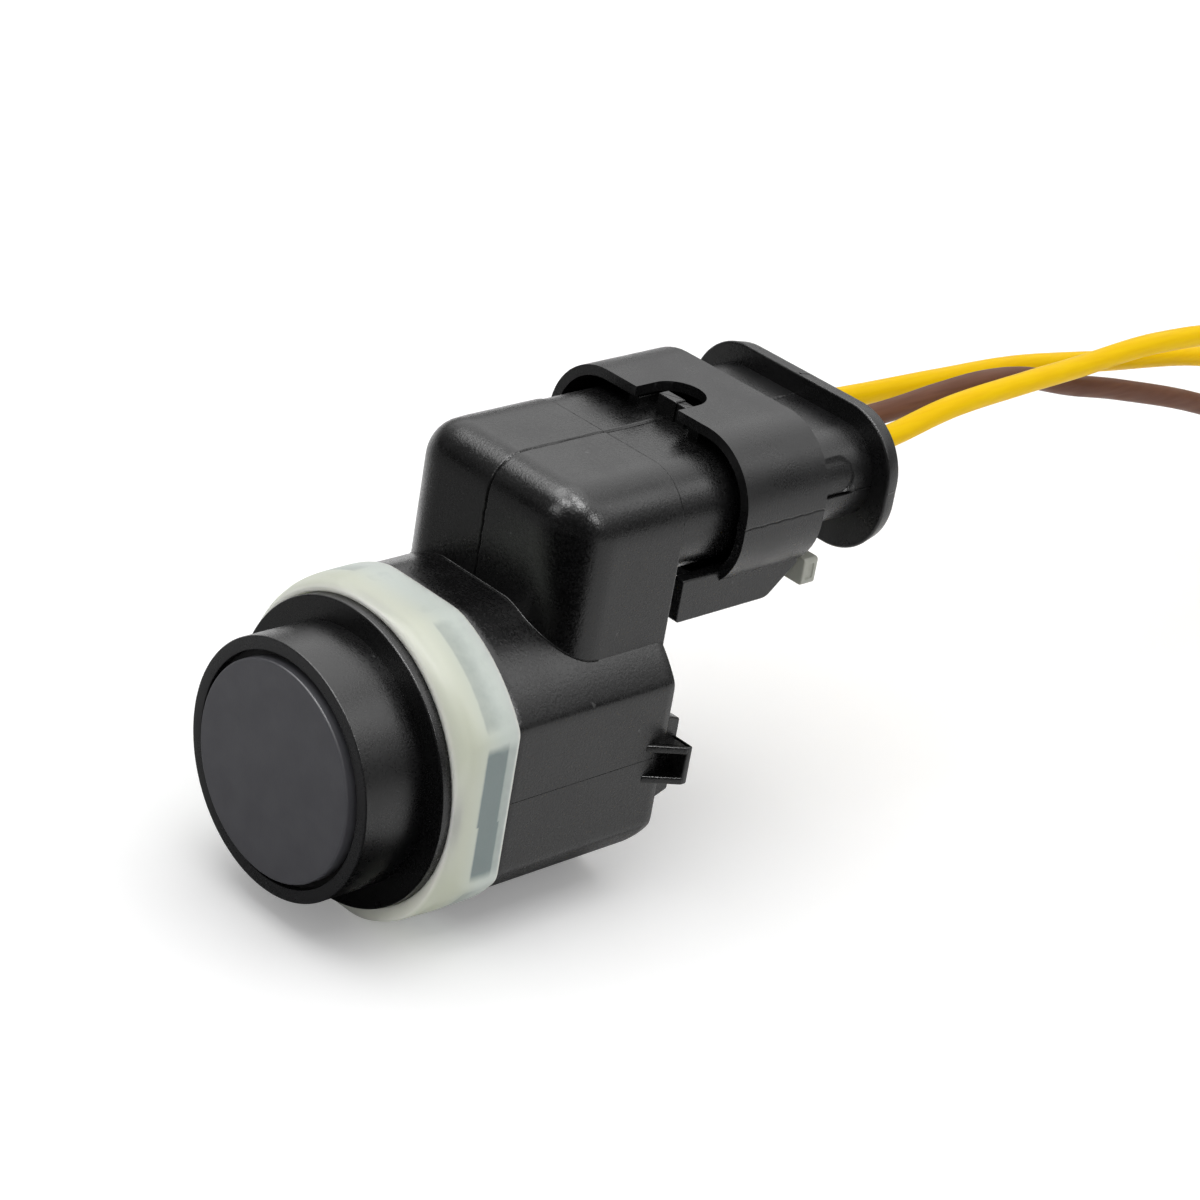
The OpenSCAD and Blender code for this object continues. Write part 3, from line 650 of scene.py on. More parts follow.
# ring's outline at a depth: the body's outline held inside a cone that opens backwards and is wider below,
# by a minimum that is soft at the lip and softer behind it
def ringRadius(y):
    lip = ring["lipR"] + ring["lipLow"] * ease(*ring["lipReach"], -np.sin(aroundAxis))
    cone = lip + (y - ringFront) * ring["slope"]
    soft = ring["lipSoft"] + (ring["coneSoft"] - ring["lipSoft"]) * ease(0, ring["coneLength"], y - ringFront)
    return -soft * np.logaddexp(-ringSection / soft, -cone / soft)


ringRows = [(ringRadius(ringFront) - drawn, ringFront + y) for drawn, y in ring["lipRound"]]
ringRows += [(ringRadius(y), y) for y in np.linspace(ringFront + 0.08, ringRear - ring["edge"], ring["rows"])]
ringRows += [(ringSection - ring["edge"] * 0.3, ringRear - ring["edge"] * 0.3),
             (ringSection - ring["edge"], ringRear)]
ringRows += [(ring["bore"] + 0.1, ringRear), (ring["bore"], ringRear - 0.1), (ring["bore"], ring["recessRear"])]
ringRows += [(ring["recessR"], ring["recessRear"]), (ring["recessR"], ringFront + 0.05),
             (ring["recessR"] + 0.02, ringFront)]


# a piece's own number for each vertex, as a factor
def readAttribute(tree, name):
    attribute = tree.nodes.new("ShaderNodeAttribute")
    attribute.attribute_name = name
    return attribute.outputs["Fac"]


# translucent polymer: painted highlights along the lip and the rear edge, blue-grey clouds where the wall is thick,
# soft light inside
def milkyPolymer():
    finish, tree, shader, place = startFinish("milkyPolymer", ring["colour"], ring["roughness"])
    ragged = addNoise(tree, place, 0.9, 4.0, 0.6)
    mottle = addNoise(tree, place, 0.25, 2.0, 0.5)
    cloud = addMath(tree, "ADD", readAttribute(tree, "cloud"), addRange(tree, ragged, 0.3, 0.7, -0.07, 0.07))
    tone = addBlend(tree, readAttribute(tree, "rear"), ring["colour"], ring["rearColour"])
    tone = addBlend(tree, addRange(tree, cloud, 0.1, 0.95, 0, 1), tone, ring["cloudColour"])
    # painted highlight: the pale edge colour where the rim attribute is high
    tone = addBlend(tree, readAttribute(tree, "rim"), tone, ring["edgeHighlightColour"])
    tree.links.new(tone, shader.inputs["Base Color"])
    addScatter(shader, 1.0, (1.0, 1.0, 1.0), 0.0016)
    addSheen(tree, shader, mottle, ring["roughness"], 0.05)
    addRelief(tree, shader, mottle, 0.004)
    return finish


# a number for every vertex, worked out from the vertices' places in millimetres
def addAttribute(piece, name, formula):
    points = np.empty(len(piece.data.vertices) * 3, np.float32)
    piece.data.vertices.foreach_get("co", points)
    values = formula(points.reshape(-1, 3) / mm)
    piece.data.attributes.new(name, "FLOAT", "POINT").data.foreach_set("value", values.astype(np.float32))


# clouds: a band behind the cone with sharp edges, full on the side flats in two offset lengths, fading
# backwards on the arcs, faint on the top flat, and broken at the outline's corners
def cloudMask(p):
    angle = np.arctan2(np.abs(p[:, 2]), np.abs(p[:, 0]))
    corners = np.radians(ring["corners"])
    across = ease(0.01, 0.09, np.min(np.abs(angle[:, None] - corners[None]), 1))
    y = p[:, 1] - ring["cloudStep"] * (p[:, 2] < ring["cloudStepZ"])
    soft = ring["cloudSoft"]
    begin = ease(ring["cloudFrom"] - soft, ring["cloudFrom"] + soft, y)
    end = 1 - ease(ring["cloudTo"] - soft, ring["cloudTo"] + soft, y)
    edge = 1 - ease(ringRear - 0.3, ringRear - 0.12, p[:, 1])
    side = np.maximum(end, 0.45 * edge)
    arc = edge * (0.46 - 0.34 * ease(ring["cloudFrom"] + 0.3, ring["cloudFrom"] + 1.9, y))
    flat = 0.22 * end * ease(0.5, 3.5, np.abs(p[:, 0]))
    return across * begin * np.where(angle < corners[0], side, np.where(angle < corners[1], arc, flat))


# painted highlight lines: 1 at the lip and 0.8 at the rear edge, each eased out within a fifth of a millimetre
def rimHighlightMask(p):
    return np.maximum(1 - ease(0.02, 0.16, p[:, 1] - ringFront), 0.8 * ease(-0.2, -0.06, p[:, 1] - ringRear))


# cooler tone: eased from 0 behind the lip to 1 before the rear
def rearMask(p):
    return ease(ringFront + 1.2, ringRear - 1.2, p[:, 1])


ringPiece = makePiece("milky_ring", [ringShell(polarRings(ringRows), True)], [milkyPolymer()], "sensor",
                      "support_ring", 30)
# the rim attribute carries the painted highlight along the lip and the rear edge
for name, mask in (("cloud", cloudMask), ("rim", rimHighlightMask), ("rear", rearMask)):
    addAttribute(ringPiece, name, mask)


# housing: flatted body, riser, socket barrel, ribs, catch and snap lugs
housing = {
    "front": ringRear,
    "chamberR": 9.6,
    "edge": 0.14,
    "riserFront": 15.3,
    "riserHalfW": 8.8,
    "riserTop": 19.85,
    "uprightR": 4.0,
    "frontEdgeR": 2.8,
    "sideEdgeR": 3.9,
    "leastEdge": 0.3,
    "footR": 10.2,
    "capRear": bodyRear + 0.2,
    "capLow": 7.5,
    "capRound": (0, 0, 0.035, 0.12),
    "barrelW": 17.4,
    "barrelH": 8.1,
    "barrelR": 3.8,
    "barrelWall": 1.05,
    "mouthEdge": 0.15,
    "socketFloor": housingHigh[1] - 8.8,
    "partingDeep": 0.05,
    "seamDeep": 0.16,
    "seamWide": 0.08,
    "seamRoom": 0.5,
    "beadR": 0.075,
}


# mould seam: a narrow bell-shaped dip about x = 0 that wanders a little along its way
def seamDip(x, way=0.0):
    return housing["seamDeep"] * bell(x - wander(way, 4.3, 11.7, 1, (0.035, 0.025)), housing["seamWide"])


# body: the outline with its parting line, carried from front to rear round both edges, and the chamber inside
def bodyRings():
    outline = sectionRadius(0) - housing["partingDeep"] * (np.abs(np.sin(aroundAxis)) < 1e-6)
    front, edge, chamber = housing["front"], housing["edge"], housing["chamberR"]
    rows = [(outline - edge, front), (outline - edge * 0.3, front + edge * 0.3)]
    rows += [(outline, y) for y in np.linspace(front + edge, bodyRear - edge, 24)]
    rows += [(outline - edge * 0.3, bodyRear - edge * 0.3), (outline - edge, bodyRear)]
    rows += [(chamber + edge, bodyRear), (chamber, bodyRear - edge), (chamber, front)]
    return polarRings(rows)


# riser: sections along y. Its half width and its top fall away in front like quarter circles, its corner
# radius shrinks with the half width as on a ball, and its foot lies on an arc inside the body's wall
def riserRings():
    upright, frontEdge, room = housing["uprightR"], housing["frontEdgeR"], housing["seamRoom"]
    d = np.r_[upright * (1 - np.cos(np.linspace(0, np.pi / 2, 30))),
              np.linspace(upright + 0.4, bodyRear - housing["riserFront"], 14)]
    early = np.clip(frontEdge - d, 0, None)
    sideIn = upright - np.sqrt(upright ** 2 - np.clip(upright - d, 0, None) ** 2)
    topIn = frontEdge - np.sqrt(frontEdge ** 2 - early ** 2)
    corner = np.maximum(housing["sideEdgeR"] * (1 - sideIn / upright), housing["leastEdge"])[:, None]
    halfW = (housing["riserHalfW"] - sideIn)[:, None]
    top = (housing["riserTop"] - topIn)[:, None]
    foot = lambda x: np.sqrt(housing["footR"] ** 2 - x ** 2)
    rise = np.linspace(0, 1, 14)[None, :-1]
    turn = np.linspace(0, np.pi / 2, 13)[None]
    middle = room * np.r_[-1, -0.8, np.linspace(-0.66, 0.66, 29), 0.8, 1][None]  # finer columns at the seam
    spread = np.linspace(0, 1, 9)[None, 1:-1]
    flat = halfW - corner
    leftX = np.hstack([-halfW + 0 * rise, -flat - corner * np.cos(turn), -flat + (flat - room) * spread])
    leftZ = np.hstack([foot(halfW) + (top - corner - foot(halfW)) * rise,
                       top - corner + corner * np.sin(turn), top + 0 * spread])
    x = np.hstack([leftX, middle + 0 * top, -leftX[:, ::-1]])
    z = np.hstack([leftZ, top + 0 * middle, leftZ[:, ::-1]])
    lean = np.sqrt(1 - (early / frontEdge) ** 2)[:, None]
    y = housing["riserFront"] + d[:, None] + seamDip(x) * np.sqrt(1 - lean ** 2)
    z = z - seamDip(x, y) * lean
    whole = np.concatenate([np.stack([x, y, z], -1), np.stack([x, y, foot(x)], -1)[:, ::-1]], 1)
    firstX, firstZ = whole[:1, :, 0], whole[:1, :, 2]
    drop = np.linspace(0, 1, 40)[:-1][:, None]
    level = foot(firstX) + (firstZ - foot(firstX)) * drop
    face = np.stack([firstX + 0 * drop, housing["riserFront"] + seamDip(firstX, level), level], -1)
    draw = np.array(housing["capRound"])[:, None]
    rear = np.repeat(whole[-1:], len(draw), 0)
    rear[..., 2] = np.maximum(rear[..., 2], housing["capLow"])
    rear[..., 1] = np.vstack([[[bodyRear]], housing["capRear"] - draw[:0:-1]])
    middleZ = (housing["riserTop"] + housing["capLow"]) / 2
    rear[..., 0] *= 1 - draw / housing["riserHalfW"]
    rear[..., 2] = middleZ + (rear[..., 2] - middleZ) * (1 - draw / (housing["riserTop"] - middleZ))
    return np.concatenate([face, whole, rear])


# barrel: a rounded outline carried back, over the mouth's edge and in again to the socket's floor
def barrelRings():
    outline = evenly(pill(housing["barrelW"], housing["barrelH"], housing["barrelR"], plugAxis, 40), 0.1)
    edge, wall, turn = housing["mouthEdge"], housing["barrelWall"], np.linspace(0, np.pi, 9)
    inset = np.r_[0, 0, edge * (1 - np.cos(turn[:5])), wall - edge * (1 + np.cos(turn[4:])), wall]
    lip = housingHigh[1] - edge
    depth = np.r_[bodyRear - 0.5, bodyRear + 5, lip + edge * np.sin(turn[:5]), lip + edge * np.sin(turn[4:]),
                  housing["socketFloor"]]
    flat = outline[None] - outward(outline)[None] * inset[:, None, None]
    outside = (flat[..., 1] > plugAxis) * (inset < 0.2)[:, None]
    flat[..., 1] -= seamDip(flat[..., 0], depth[:, None]) * outside
    return onAxes(flat, depth[:, None], "xzy")


# bead: a thin tube where the riser's front and round corners, seen from above, meet the body
def junctionBead():
    turn = np.linspace(0, np.pi / 2, 16)
    radius, halfW = housing["uprightR"], housing["riserHalfW"]
    frontX = np.linspace(halfW - radius, radius - halfW, 14)[1:-1]
    x = halfW - radius + radius * np.cos(turn)
    y = housing["riserFront"] + radius - radius * np.sin(turn)
    x, y = np.r_[x, frontX, -x[::-1]], np.r_[y, housing["riserFront"] + 0 * frontX, y[::-1]]
    z = np.minimum(section["halfH"], np.sqrt(section["arcR"] ** 2 - x ** 2) - section["shift"])
    return tube(np.stack([x, y, z], 1), housing["beadR"], 8)


# ribs on the barrel: a stepped one in the sleeve's notch and a guide on each side of it
ribs = {"left": -1.0, "step": 0.75, "right": 1.7, "front": sleeveFront + 1.15, "rear": sleeveFront + 2.1,
        "top": housingHigh[2], "mismatch": (0.12, 0.03, 0.08), "guideX": (2.5, 3.5), "guideY": (0.9, 4.9),
        "guideTop": housing["riserTop"] + 0.45}
late, early, lower = ribs["mismatch"]
ribParts = [
    block((ribs["left"], ribs["step"]), (ribs["front"], ribs["rear"]), (plugAxis, ribs["top"]), 0.06, 0.1),
    block((ribs["step"], ribs["right"]), (ribs["front"] + late, ribs["rear"] - early),
          (plugAxis, ribs["top"] - lower), 0.06, 0.1)]
ribParts += mirrored(block(ribs["guideX"], [sleeveFront + y for y in ribs["guideY"]],
                           (plugAxis, ribs["guideTop"]), 0.12, 0.1))

# catch under the barrel that holds the latch arm
catch = {"outline": [(34.75, 12.0), (33.75, 10.3), (33.45, 10.3), (33.45, 12.0)], "rounds": [0.05, 0.1, 0.1, 0.05],
         "halfW": 1.8}
catchPart = slab(roundOff(catch["outline"], catch["rounds"], 4), -catch["halfW"], catch["halfW"], 0.08, "yzx")

lug = {"root": 10.75, "sink": 0.5, "out": 1.6, "front": 23.5, "rear": 26.45, "wall": 0.55, "low": -1.775,
       "high": 1.175, "tabLow": -3.4, "tabHigh": 3.0, "tabIn": 9.8, "tabLength": 2.0, "tabSlope": 0.4,
       "edge": 0.13, "corner": 0.16, "clear": 0.02}


# one snap lug: two gussets, a locking wall and the base tab behind the body's rear
def lugParts():
    root, tip, rear, edge = lug["root"], lug["root"] + lug["out"], lug["rear"], lug["edge"]
    inner, inRear, sunk = tip - lug["clear"], rear - lug["clear"], root - lug["sink"]
    gusset = roundOff([(sunk, lug["front"]), (root, lug["front"]), (inner, rear - lug["wall"]), (inner, inRear),
                       (sunk, inRear)], [0.05, 0.15, 0.15, 0.1, 0.05], 5)
    low, high, slope, start = lug["tabLow"], lug["tabHigh"], lug["tabSlope"], bodyRear - lug["tabLength"]
    tab = roundOff([(start, low), (bodyRear, low), (rear, low + slope), (rear, high - slope), (bodyRear, high),
                    (start, high)], [0.05, 0.05, 0.2, 0.2, 0.05, 0.05], 5)
    return [slab(gusset, lug["low"], lug["low"] + lug["wall"], edge, "xyz"),
            slab(gusset, lug["high"] - lug["wall"], lug["high"], edge, "xyz"),
            block((sunk, tip), (rear - lug["wall"], rear), (lug["low"], lug["high"]), lug["corner"], edge),
            slab(tab - np.array([lug["clear"] * 2, 0]), lug["tabIn"], root - lug["clear"], edge, "yzx")]


housingLook = {
    "colour": (0.002, 0.002, 0.0021),
    "highColour": (0.004, 0.004, 0.0042),
    "roughness": 0.26,
    "specular": 0.40,
    "grain": 0.2,
    "grainDeep": 0.017,
    "dustSize": 0.6,
    "dustFrom": 0.86,
    "dustColour": (0.05, 0.05, 0.05),
}
housingParts = [ringShell(bodyRings(), True), ringShell(riserRings()), ringShell(barrelRings()), junctionBead(),
                catchPart, *ribParts]
housingParts += [both for part in lugParts() for both in mirrored(part)]
makePiece("housing_shell", housingParts, [mouldedPlastic("housingMould", housingLook)], "sensor", "housing")


# plug: sleeve with notch and latch opening, web, skirts, neck with windows, end plate, latch arm and rail
plug = {
    "sleeveRear": sleeveFront + 7.85,
    "sleeveW": plugHigh[0] * 2,
    "sleeveH": 11.5,
    "sleeveR": 5.0,
    "wall": 0.75,
    "rimRound": 0.13,
    "web": 1.15,
    "webInset": 0.4,
    "webR": 4.6,
    "webNotch": 1.1,
    "notchHalf": 2.1,
    "notchLength": 4.0,
    "openingHalf": 4.4,
    "openingFront": sleeveFront + 1.5,
    "partingZ": 0.2,
    "partingDeep": 0.055,
    "partingWide": 0.055,
    "tower": (13.6, 4.5, 2.05),
    "neckW": 17.0,
    "neckH": 7.0,
    "neckR": 3.3,
    "windowLength": 4.5,
    "windowH": 2.4,
    "windowDeep": 0.14,
    "slotH": 0.18,
    "slotDeep": 0.4,
    "slotRamp": 8,
    "seamDeep": 0.07,
    "seamWide": 0.1,
    "sideSeamDeep": 0.09,
    "sideSeamWide": 0.05,
    "plateW": 20.0,
    "plateH": 11.1,
    "plateR": 4.8,
    "plateDrop": 0.5,
    "plateEdge": 0.22,
    "plateTaper": 0.2,
    "boreR": 1.65,
    "boreDeep": 3.6,
    "pitch": 4.0,
}
sleeveRear, openingHalf = plug["sleeveRear"], plug["openingHalf"]


# sleeve: the rounded outline carried along y as a sheet. Each column has its own split depth: the notch's round
# end on top and the latch opening's front below, and the faces on the open side of it are left out
def sleeveSheet():
    w, h, r, notchHalf = plug["sleeveW"] / 2, plug["sleeveH"] / 2, plug["sleeveR"], plug["notchHalf"]
    arc = np.linspace(0, np.pi / 2, 15)
    cosine, sine = r * np.cos(arc), r * np.sin(arc)
    flatX, flatZ = w - r, h - r
    besideNotch = np.linspace(flatX, notchHalf, 8)[1:-1]
    topX = np.r_[besideNotch, notchHalf * np.cos(np.linspace(0, np.pi, 27)), -besideNotch[::-1]]
    lowX = np.r_[-flatX + 0.3, np.linspace(-openingHalf, openingHalf, 15), flatX - 0.3]
    sideZ = np.r_[-0.5, -0.2, plug["partingZ"] + np.linspace(-0.2, 0.2, 11), 0.58]
    x = np.r_[flatX + sine, w + 0 * sideZ, flatX + cosine, topX, -flatX - sine, -w + 0 * sideZ, -flatX - cosine,
              lowX]
    z = np.r_[-flatZ - cosine, sideZ, flatZ + sine, h + 0 * topX, flatZ + cosine, sideZ[::-1], -flatZ - sine,
              -h + 0 * lowX]
    inNotch = (z > h - 1e-6) & (np.abs(x) <= notchHalf + 1e-6)
    inOpening = (z < -h + 1e-6) & (np.abs(x) <= openingHalf + 1e-6)
    notchEnd = np.sqrt(np.clip(notchHalf ** 2 - x ** 2, 0, None)) * inNotch
    split = np.where(inOpening, plug["openingFront"], sleeveFront + plug["notchLength"] - notchHalf + notchEnd)
    fore, aft = np.linspace(0, 1, 9)[:-1, None], np.linspace(0, 1, 25)[:, None]
    y = np.vstack([sleeveFront + (split - sleeveFront) * fore, split + (sleeveRear - split) * aft])
    fromParting = z - plug["partingZ"] - wander(y, 4.1, 9.3, 2)
    parting = plug["partingDeep"] * bell(fromParting, plug["partingWide"]) * (np.abs(x) > w - 0.01)
    points = np.stack([x - np.sign(x) * parting, y, plugAxis + z + 0 * y], -1)
    quads = gridQuads(len(y), len(x)).reshape(len(y) - 1, len(x), 4)[..., ::-1]
    openFore, openAft = (side & np.roll(side, -1) for side in (inNotch, inOpening))
    isFore = (np.arange(len(y) - 1) < len(fore))[:, None]
    keep = ~((isFore & openFore[None]) | (~isFore & openAft[None]))
    return points.reshape(-1, 3), quads[keep].tolist()


# the sheet gets its wall inwards, and its rims are rounded
def thickenSleeve(draft):
    wall = draft.modifiers.new("wall", "SOLIDIFY")
    wall.thickness, wall.offset, wall.use_even_offset = plug["wall"] * mm, -1, True
    rims = draft.modifiers.new("rims", "BEVEL")
    rims.width, rims.segments, rims.limit_method = plug["rimRound"] * mm, 3, "ANGLE"
    rims.angle_limit = math.radians(50)


# neck: the rounded outline carried along y and pressed inward by the windows, their slots and the seams.
# A window's edge is the distance to a round-ended bar, eased over a tenth of a millimetre
def neckRings():
    dense = evenly(pill(plug["neckW"], plug["neckH"], plug["neckR"], plugAxis, 60), 0.03)
    halfSlot, half = plug["slotH"] / 2, plug["windowH"] / 2
    nearSlot = np.abs(dense[:, 1] - plugAxis + halfSlot) < 0.4
    nearSeam = (np.abs(dense[:, 0]) < 0.35) & (dense[:, 1] > plugAxis)
    outline = dense[nearSlot | nearSeam | (np.arange(len(dense)) % 5 == 0)]
    y = np.arange(sleeveRear - 1.1, plateFront + 0.2, 0.1)[:, None]
    x, z = outline[None, :, 0], outline[None, :, 1] - plugAxis
    onSide = np.abs(x) > plug["neckW"] / 4
    windowEnd = sleeveRear + plug["windowLength"]
    gap = np.hypot(np.clip(y - windowEnd + half, 0, None), z - half) - half
    window = plug["windowDeep"] * (1 - ease(-0.1, 0.1, gap)) * onSide
    slotGap = np.maximum(np.abs(z + halfSlot) - halfSlot, (y - windowEnd) / plug["slotRamp"])
    slot = plug["slotDeep"] * (1 - ease(-0.05, 0.05, slotGap)) * onSide
    seam = plug["seamDeep"] * bell(x - wander(y, 5.1, 13.7, 1), plug["seamWide"]) * (z > 0)
    sideSeam = plug["sideSeamDeep"] * bell(z + halfSlot, plug["sideSeamWide"]) * onSide
    press = np.maximum(np.maximum(window, slot), np.maximum(seam, sideSeam))
    return onAxes(outline[None] - outward(outline)[None] * press[..., None], y, "xzy")


# skirt beside the latch: an outline with a slanted rear corner, kept clear of the barrel
skirt = {"in": 7.6, "out": 8.6, "low": plugLow[2], "front": plugLow[1], "top": plugAxis - 3.6, "run": 2.6,
         "rise": 2.2, "rounds": [0.35, 1.2, 0.3, 0.05, 0.2], "clear": 0.15}


# skirt's plate: the outline carried along x, minus the barrel's outline with some clearance
def skirtPart():
    low, top, front, clear = skirt["low"], skirt["top"], skirt["front"], skirt["clear"]
    outline = roundOff([(front, low), (sleeveRear - skirt["run"], low), (sleeveRear, low + skirt["rise"]),
                        (sleeveRear, top), (front, top)], skirt["rounds"], 8)
    room = pill(housing["barrelW"] + 2 * clear, housing["barrelH"] + 2 * clear, housing["barrelR"] + clear,
                plugAxis, 24)
    inside = slab(evenly(room, 0.3), front - 1, sleeveRear - plug["web"], 0.01, "xzy", 2)
    return cutAway(slab(outline, skirt["in"], skirt["out"], 0.12, "yzx"), [inside])


webW, webH = plug["sleeveW"] / 2 - plug["webInset"], plug["sleeveH"] / 2 - plug["webInset"]
notchZ = -webH + plug["webNotch"]
webOutline = roundOff(
    [(webW, -webH), (webW, webH), (-webW, webH), (-webW, -webH), (-openingHalf, -webH), (-openingHalf, notchZ),
     (openingHalf, notchZ), (openingHalf, -webH)], [plug["webR"]] * 4 + [0.1] * 4, 10) + np.array([0, plugAxis])
webPart = slab(webOutline, sleeveRear - plug["web"], sleeveRear - 0.02, 0.05, "xzy")
towerOutline = evenly(pill(*plug["tower"], plugAxis, 16), 0.4)
towerPart = slab(towerOutline, housing["socketFloor"] + 1, sleeveRear - 1, 0.15, "xzy")

boreFront, boreRear = plateFront - plug["boreDeep"], plugHigh[1] + 1
boreCorners = [(0, boreFront), (plug["boreR"], boreFront), (plug["boreR"], boreRear), (0, boreRear)]
boreProfile = roundOff(boreCorners, 0.001, 2)
borers = [turned(boreProfile, 64, x, plugAxis) for x in (-plug["pitch"], 0, plug["pitch"])]
neckPart = cutAway(ringShell(neckRings()), borers)
plateLevel = plugAxis - plug["plateDrop"]
plateOutline = evenly(pill(plug["plateW"], plug["plateH"], plug["plateR"], plateLevel, 40), 0.2)
plateSlab = slab(plateOutline, plateFront, plugHigh[1], plug["plateEdge"], "xzy", 5, plug["plateTaper"])
platePart = cutAway(plateSlab, borers)

# nibs on the plate's rim, one on top and one on each side
nib = {"front": 0.15, "rear": 0.3, "root": 0.2, "topProud": 0.05, "topX": (-0.1, 0.12), "sideProud": 0.04,
       "sideZ": (-0.17, -0.02)}


# nib: a strip that follows the rim's taper, from its root below the rim to proud above it
def nibPart(rim, proud, low, high, axes):
    depth = np.array([plateFront + nib["front"], plugHigh[1] - nib["rear"]])
    edge = rim - np.array([0.0, plug["plateTaper"]])
    outline = np.stack([np.r_[depth, depth[::-1]], np.r_[edge - nib["root"], (edge + proud)[::-1]]], 1)
    return slab(outline, low, high, 0.03, axes)


topNib = nibPart(plateLevel + plug["plateH"] / 2, nib["topProud"], *nib["topX"], "yzx")
sideNibs = mirrored(nibPart(plug["plateW"] / 2, nib["sideProud"], *(plugAxis + z for z in nib["sideZ"]), "yxz"))

# latch arm with the hole that takes the catch, and the lock's rail under the neck
latch = {"halfW": 3.9, "y": (31.15, 37.85), "thick": 0.95, "holeHalf": 2.05, "holeY": (33.15, 35.05)}
rail = {"halfW": 1.9, "stemHalf": 0.9, "y": (38.0, 44.9), "z": (10.6, 11.4), "stemZ": (11.2, 12.6)}
armLow = plugAxis - plug["sleeveH"] / 2
armHole = block((-latch["holeHalf"], latch["holeHalf"]), latch["holeY"], (armLow - 1, armLow + 2), 0.1, 0.01)
armPart = cutAway(block((-latch["halfW"], latch["halfW"]), latch["y"], (armLow, armLow + latch["thick"])), [armHole])
railParts = [block((-rail["halfW"], rail["halfW"]), rail["y"], rail["z"], 0.05, 0.08),
             block((-rail["stemHalf"], rail["stemHalf"]), rail["y"], rail["stemZ"], 0.05, 0.05)]

plugLook = {
    "colour": (0.004, 0.004, 0.0042),
    "highColour": (0.007, 0.007, 0.0074),
    "roughness": 0.30,
    "specular": 0.39,
    "grain": 0.14,
    "grainDeep": 0.018,
    "dustSize": 0.55,
    "dustFrom": 0.86,
    "dustColour": (0.05, 0.05, 0.05),
}
plugParts = [afterModifiers(sleeveSheet(), thickenSleeve, False), webPart, towerPart, neckPart, platePart, armPart]
plugParts += [topNib, *sideNibs, *railParts, *mirrored(skirtPart())]
makePiece("plug_shell", plugParts, [mouldedPlastic("plugMould", plugLook)], "sensor", "plug_housing")


# lock: cross bar with end pockets, guide block over the rail, tongue below the latch
lock = {
    "barY": (38.8, 40.2),
    "barTop": lockLow[2] + 2.05,
    "barRound": 0.25,
    "pocketDeep": 0.12,
    "pocketY": (39.15, 39.85),
    "pocketHalf": 0.6,
    "blockHalf": 3.2,
    "blockFront": 38.25,
    "railRoom": [((-2.0, 2.0), (37, 46), (10.5, 11.5)), ((-1.0, 1.0), (37, 46), (11.3, 13.5))],
    "tongueHalf": 2.7,
    "tongueTop": lockLow[2] + 0.65,
}
# grey nylon: fine grain, slow change of tone
greyNylon = {"colour": (0.40, 0.405, 0.355), "shade": (0.33, 0.335, 0.29), "roughness": 0.45,
             "grain": (0.12, 3.0, 0.6), "cloud": (1.6, 3.0, 0.5), "toneRange": (0.3, 0.7), "deep": 0.006,
             "scatter": (0.1, (1.0, 1.0, 0.9), 0.0004)}
barHalf, lockZ = lockHigh[0], lockLow[2]
barOutline = roundOff([(barHalf, lockZ), (barHalf, lock["barTop"]), (-barHalf, lock["barTop"]), (-barHalf, lockZ)],
                      lock["barRound"], 6)
barMid = (lockZ + lock["barTop"]) / 2
pocket = block((barHalf - lock["pocketDeep"], barHalf + 0.3), lock["pocketY"],
               (barMid - lock["pocketHalf"], barMid + lock["pocketHalf"]), 0.1, 0.1)
lockBar = cutAway(slab(barOutline, *lock["barY"], 0.12, "xzy"), mirrored(pocket))
guide = cutAway(block((-lock["blockHalf"], lock["blockHalf"]), (lock["blockFront"], lockHigh[1]),
                      (lockZ, lockHigh[2]), 0.15, 0.12), [block(*room, 0.05, 0.01) for room in lock["railRoom"]])
tongue = block((-lock["tongueHalf"], lock["tongueHalf"]), (lockLow[1], lock["blockFront"] + 0.4),
               (lockZ, lock["tongueTop"]), 0.3, 0.12)
makePiece("position_lock", [lockBar, guide, tongue], [plainFinish("greyNylon", greyNylon)], "lock", "lock_slider")


# nodes that keep their CAD shape get a finish of their own: colour, shade, roughness, grain size and depth, nodes
keptFinishes = {
    "softSilicone": ((0.006, 0.006, 0.006), (0.010, 0.010, 0.010), 0.62, 0.15, 0.008, ["decoupling_ring"]),
    "dampingFoam": ((0.05, 0.05, 0.052), (0.03, 0.03, 0.03), 0.85, 0.3, 0.08, ["damping_foam"]),
    "piezoCeramic": ((0.62, 0.55, 0.42), (0.55, 0.48, 0.36), 0.5, 0.1, 0.004, ["piezo_disc"]),
    "solderMask": ((0.010, 0.085, 0.030), (0.008, 0.065, 0.022), 0.3, 0.3, 0.006, ["circuit_board"]),
    "ferriteCore": ((0.035, 0.036, 0.040), (0.025, 0.025, 0.028), 0.55, 0.12, 0.01, ["transformer"]),
    "chipEpoxy": ((0.014, 0.014, 0.015), (0.020, 0.020, 0.021), 0.5, 0.08, 0.005, ["driver_chip"]),
    "capacitorBody": ((0.42, 0.29, 0.16), (0.36, 0.24, 0.13), 0.4, 0.1, 0.004, ["filter_capacitor"]),
    "tinPlate": ((0.74, 0.74, 0.75), (0.62, 0.62, 0.64), 0.3, 0.1, 0.004,
                 ["contact_pin_left", "contact_pin_middle", "contact_pin_right", "terminal_left", "terminal_middle",
                  "terminal_right", "piezo_lead_left", "piezo_lead_right"]),
    "castResin": ((0.010, 0.010, 0.011), (0.016, 0.016, 0.017), 0.22, 1.4, 0.05, ["potting"]),
    "sealRubber": ((0.55, 0.20, 0.035), (0.46, 0.16, 0.03), 0.55, 0.12, 0.006,
                   ["interface_seal", "wire_seal_left", "wire_seal_middle", "wire_seal_right"]),
}
drawnMetal = {"tinPlate": (1.0, 0.15, 1.0)}  # bare metals, with their grain stretched along y
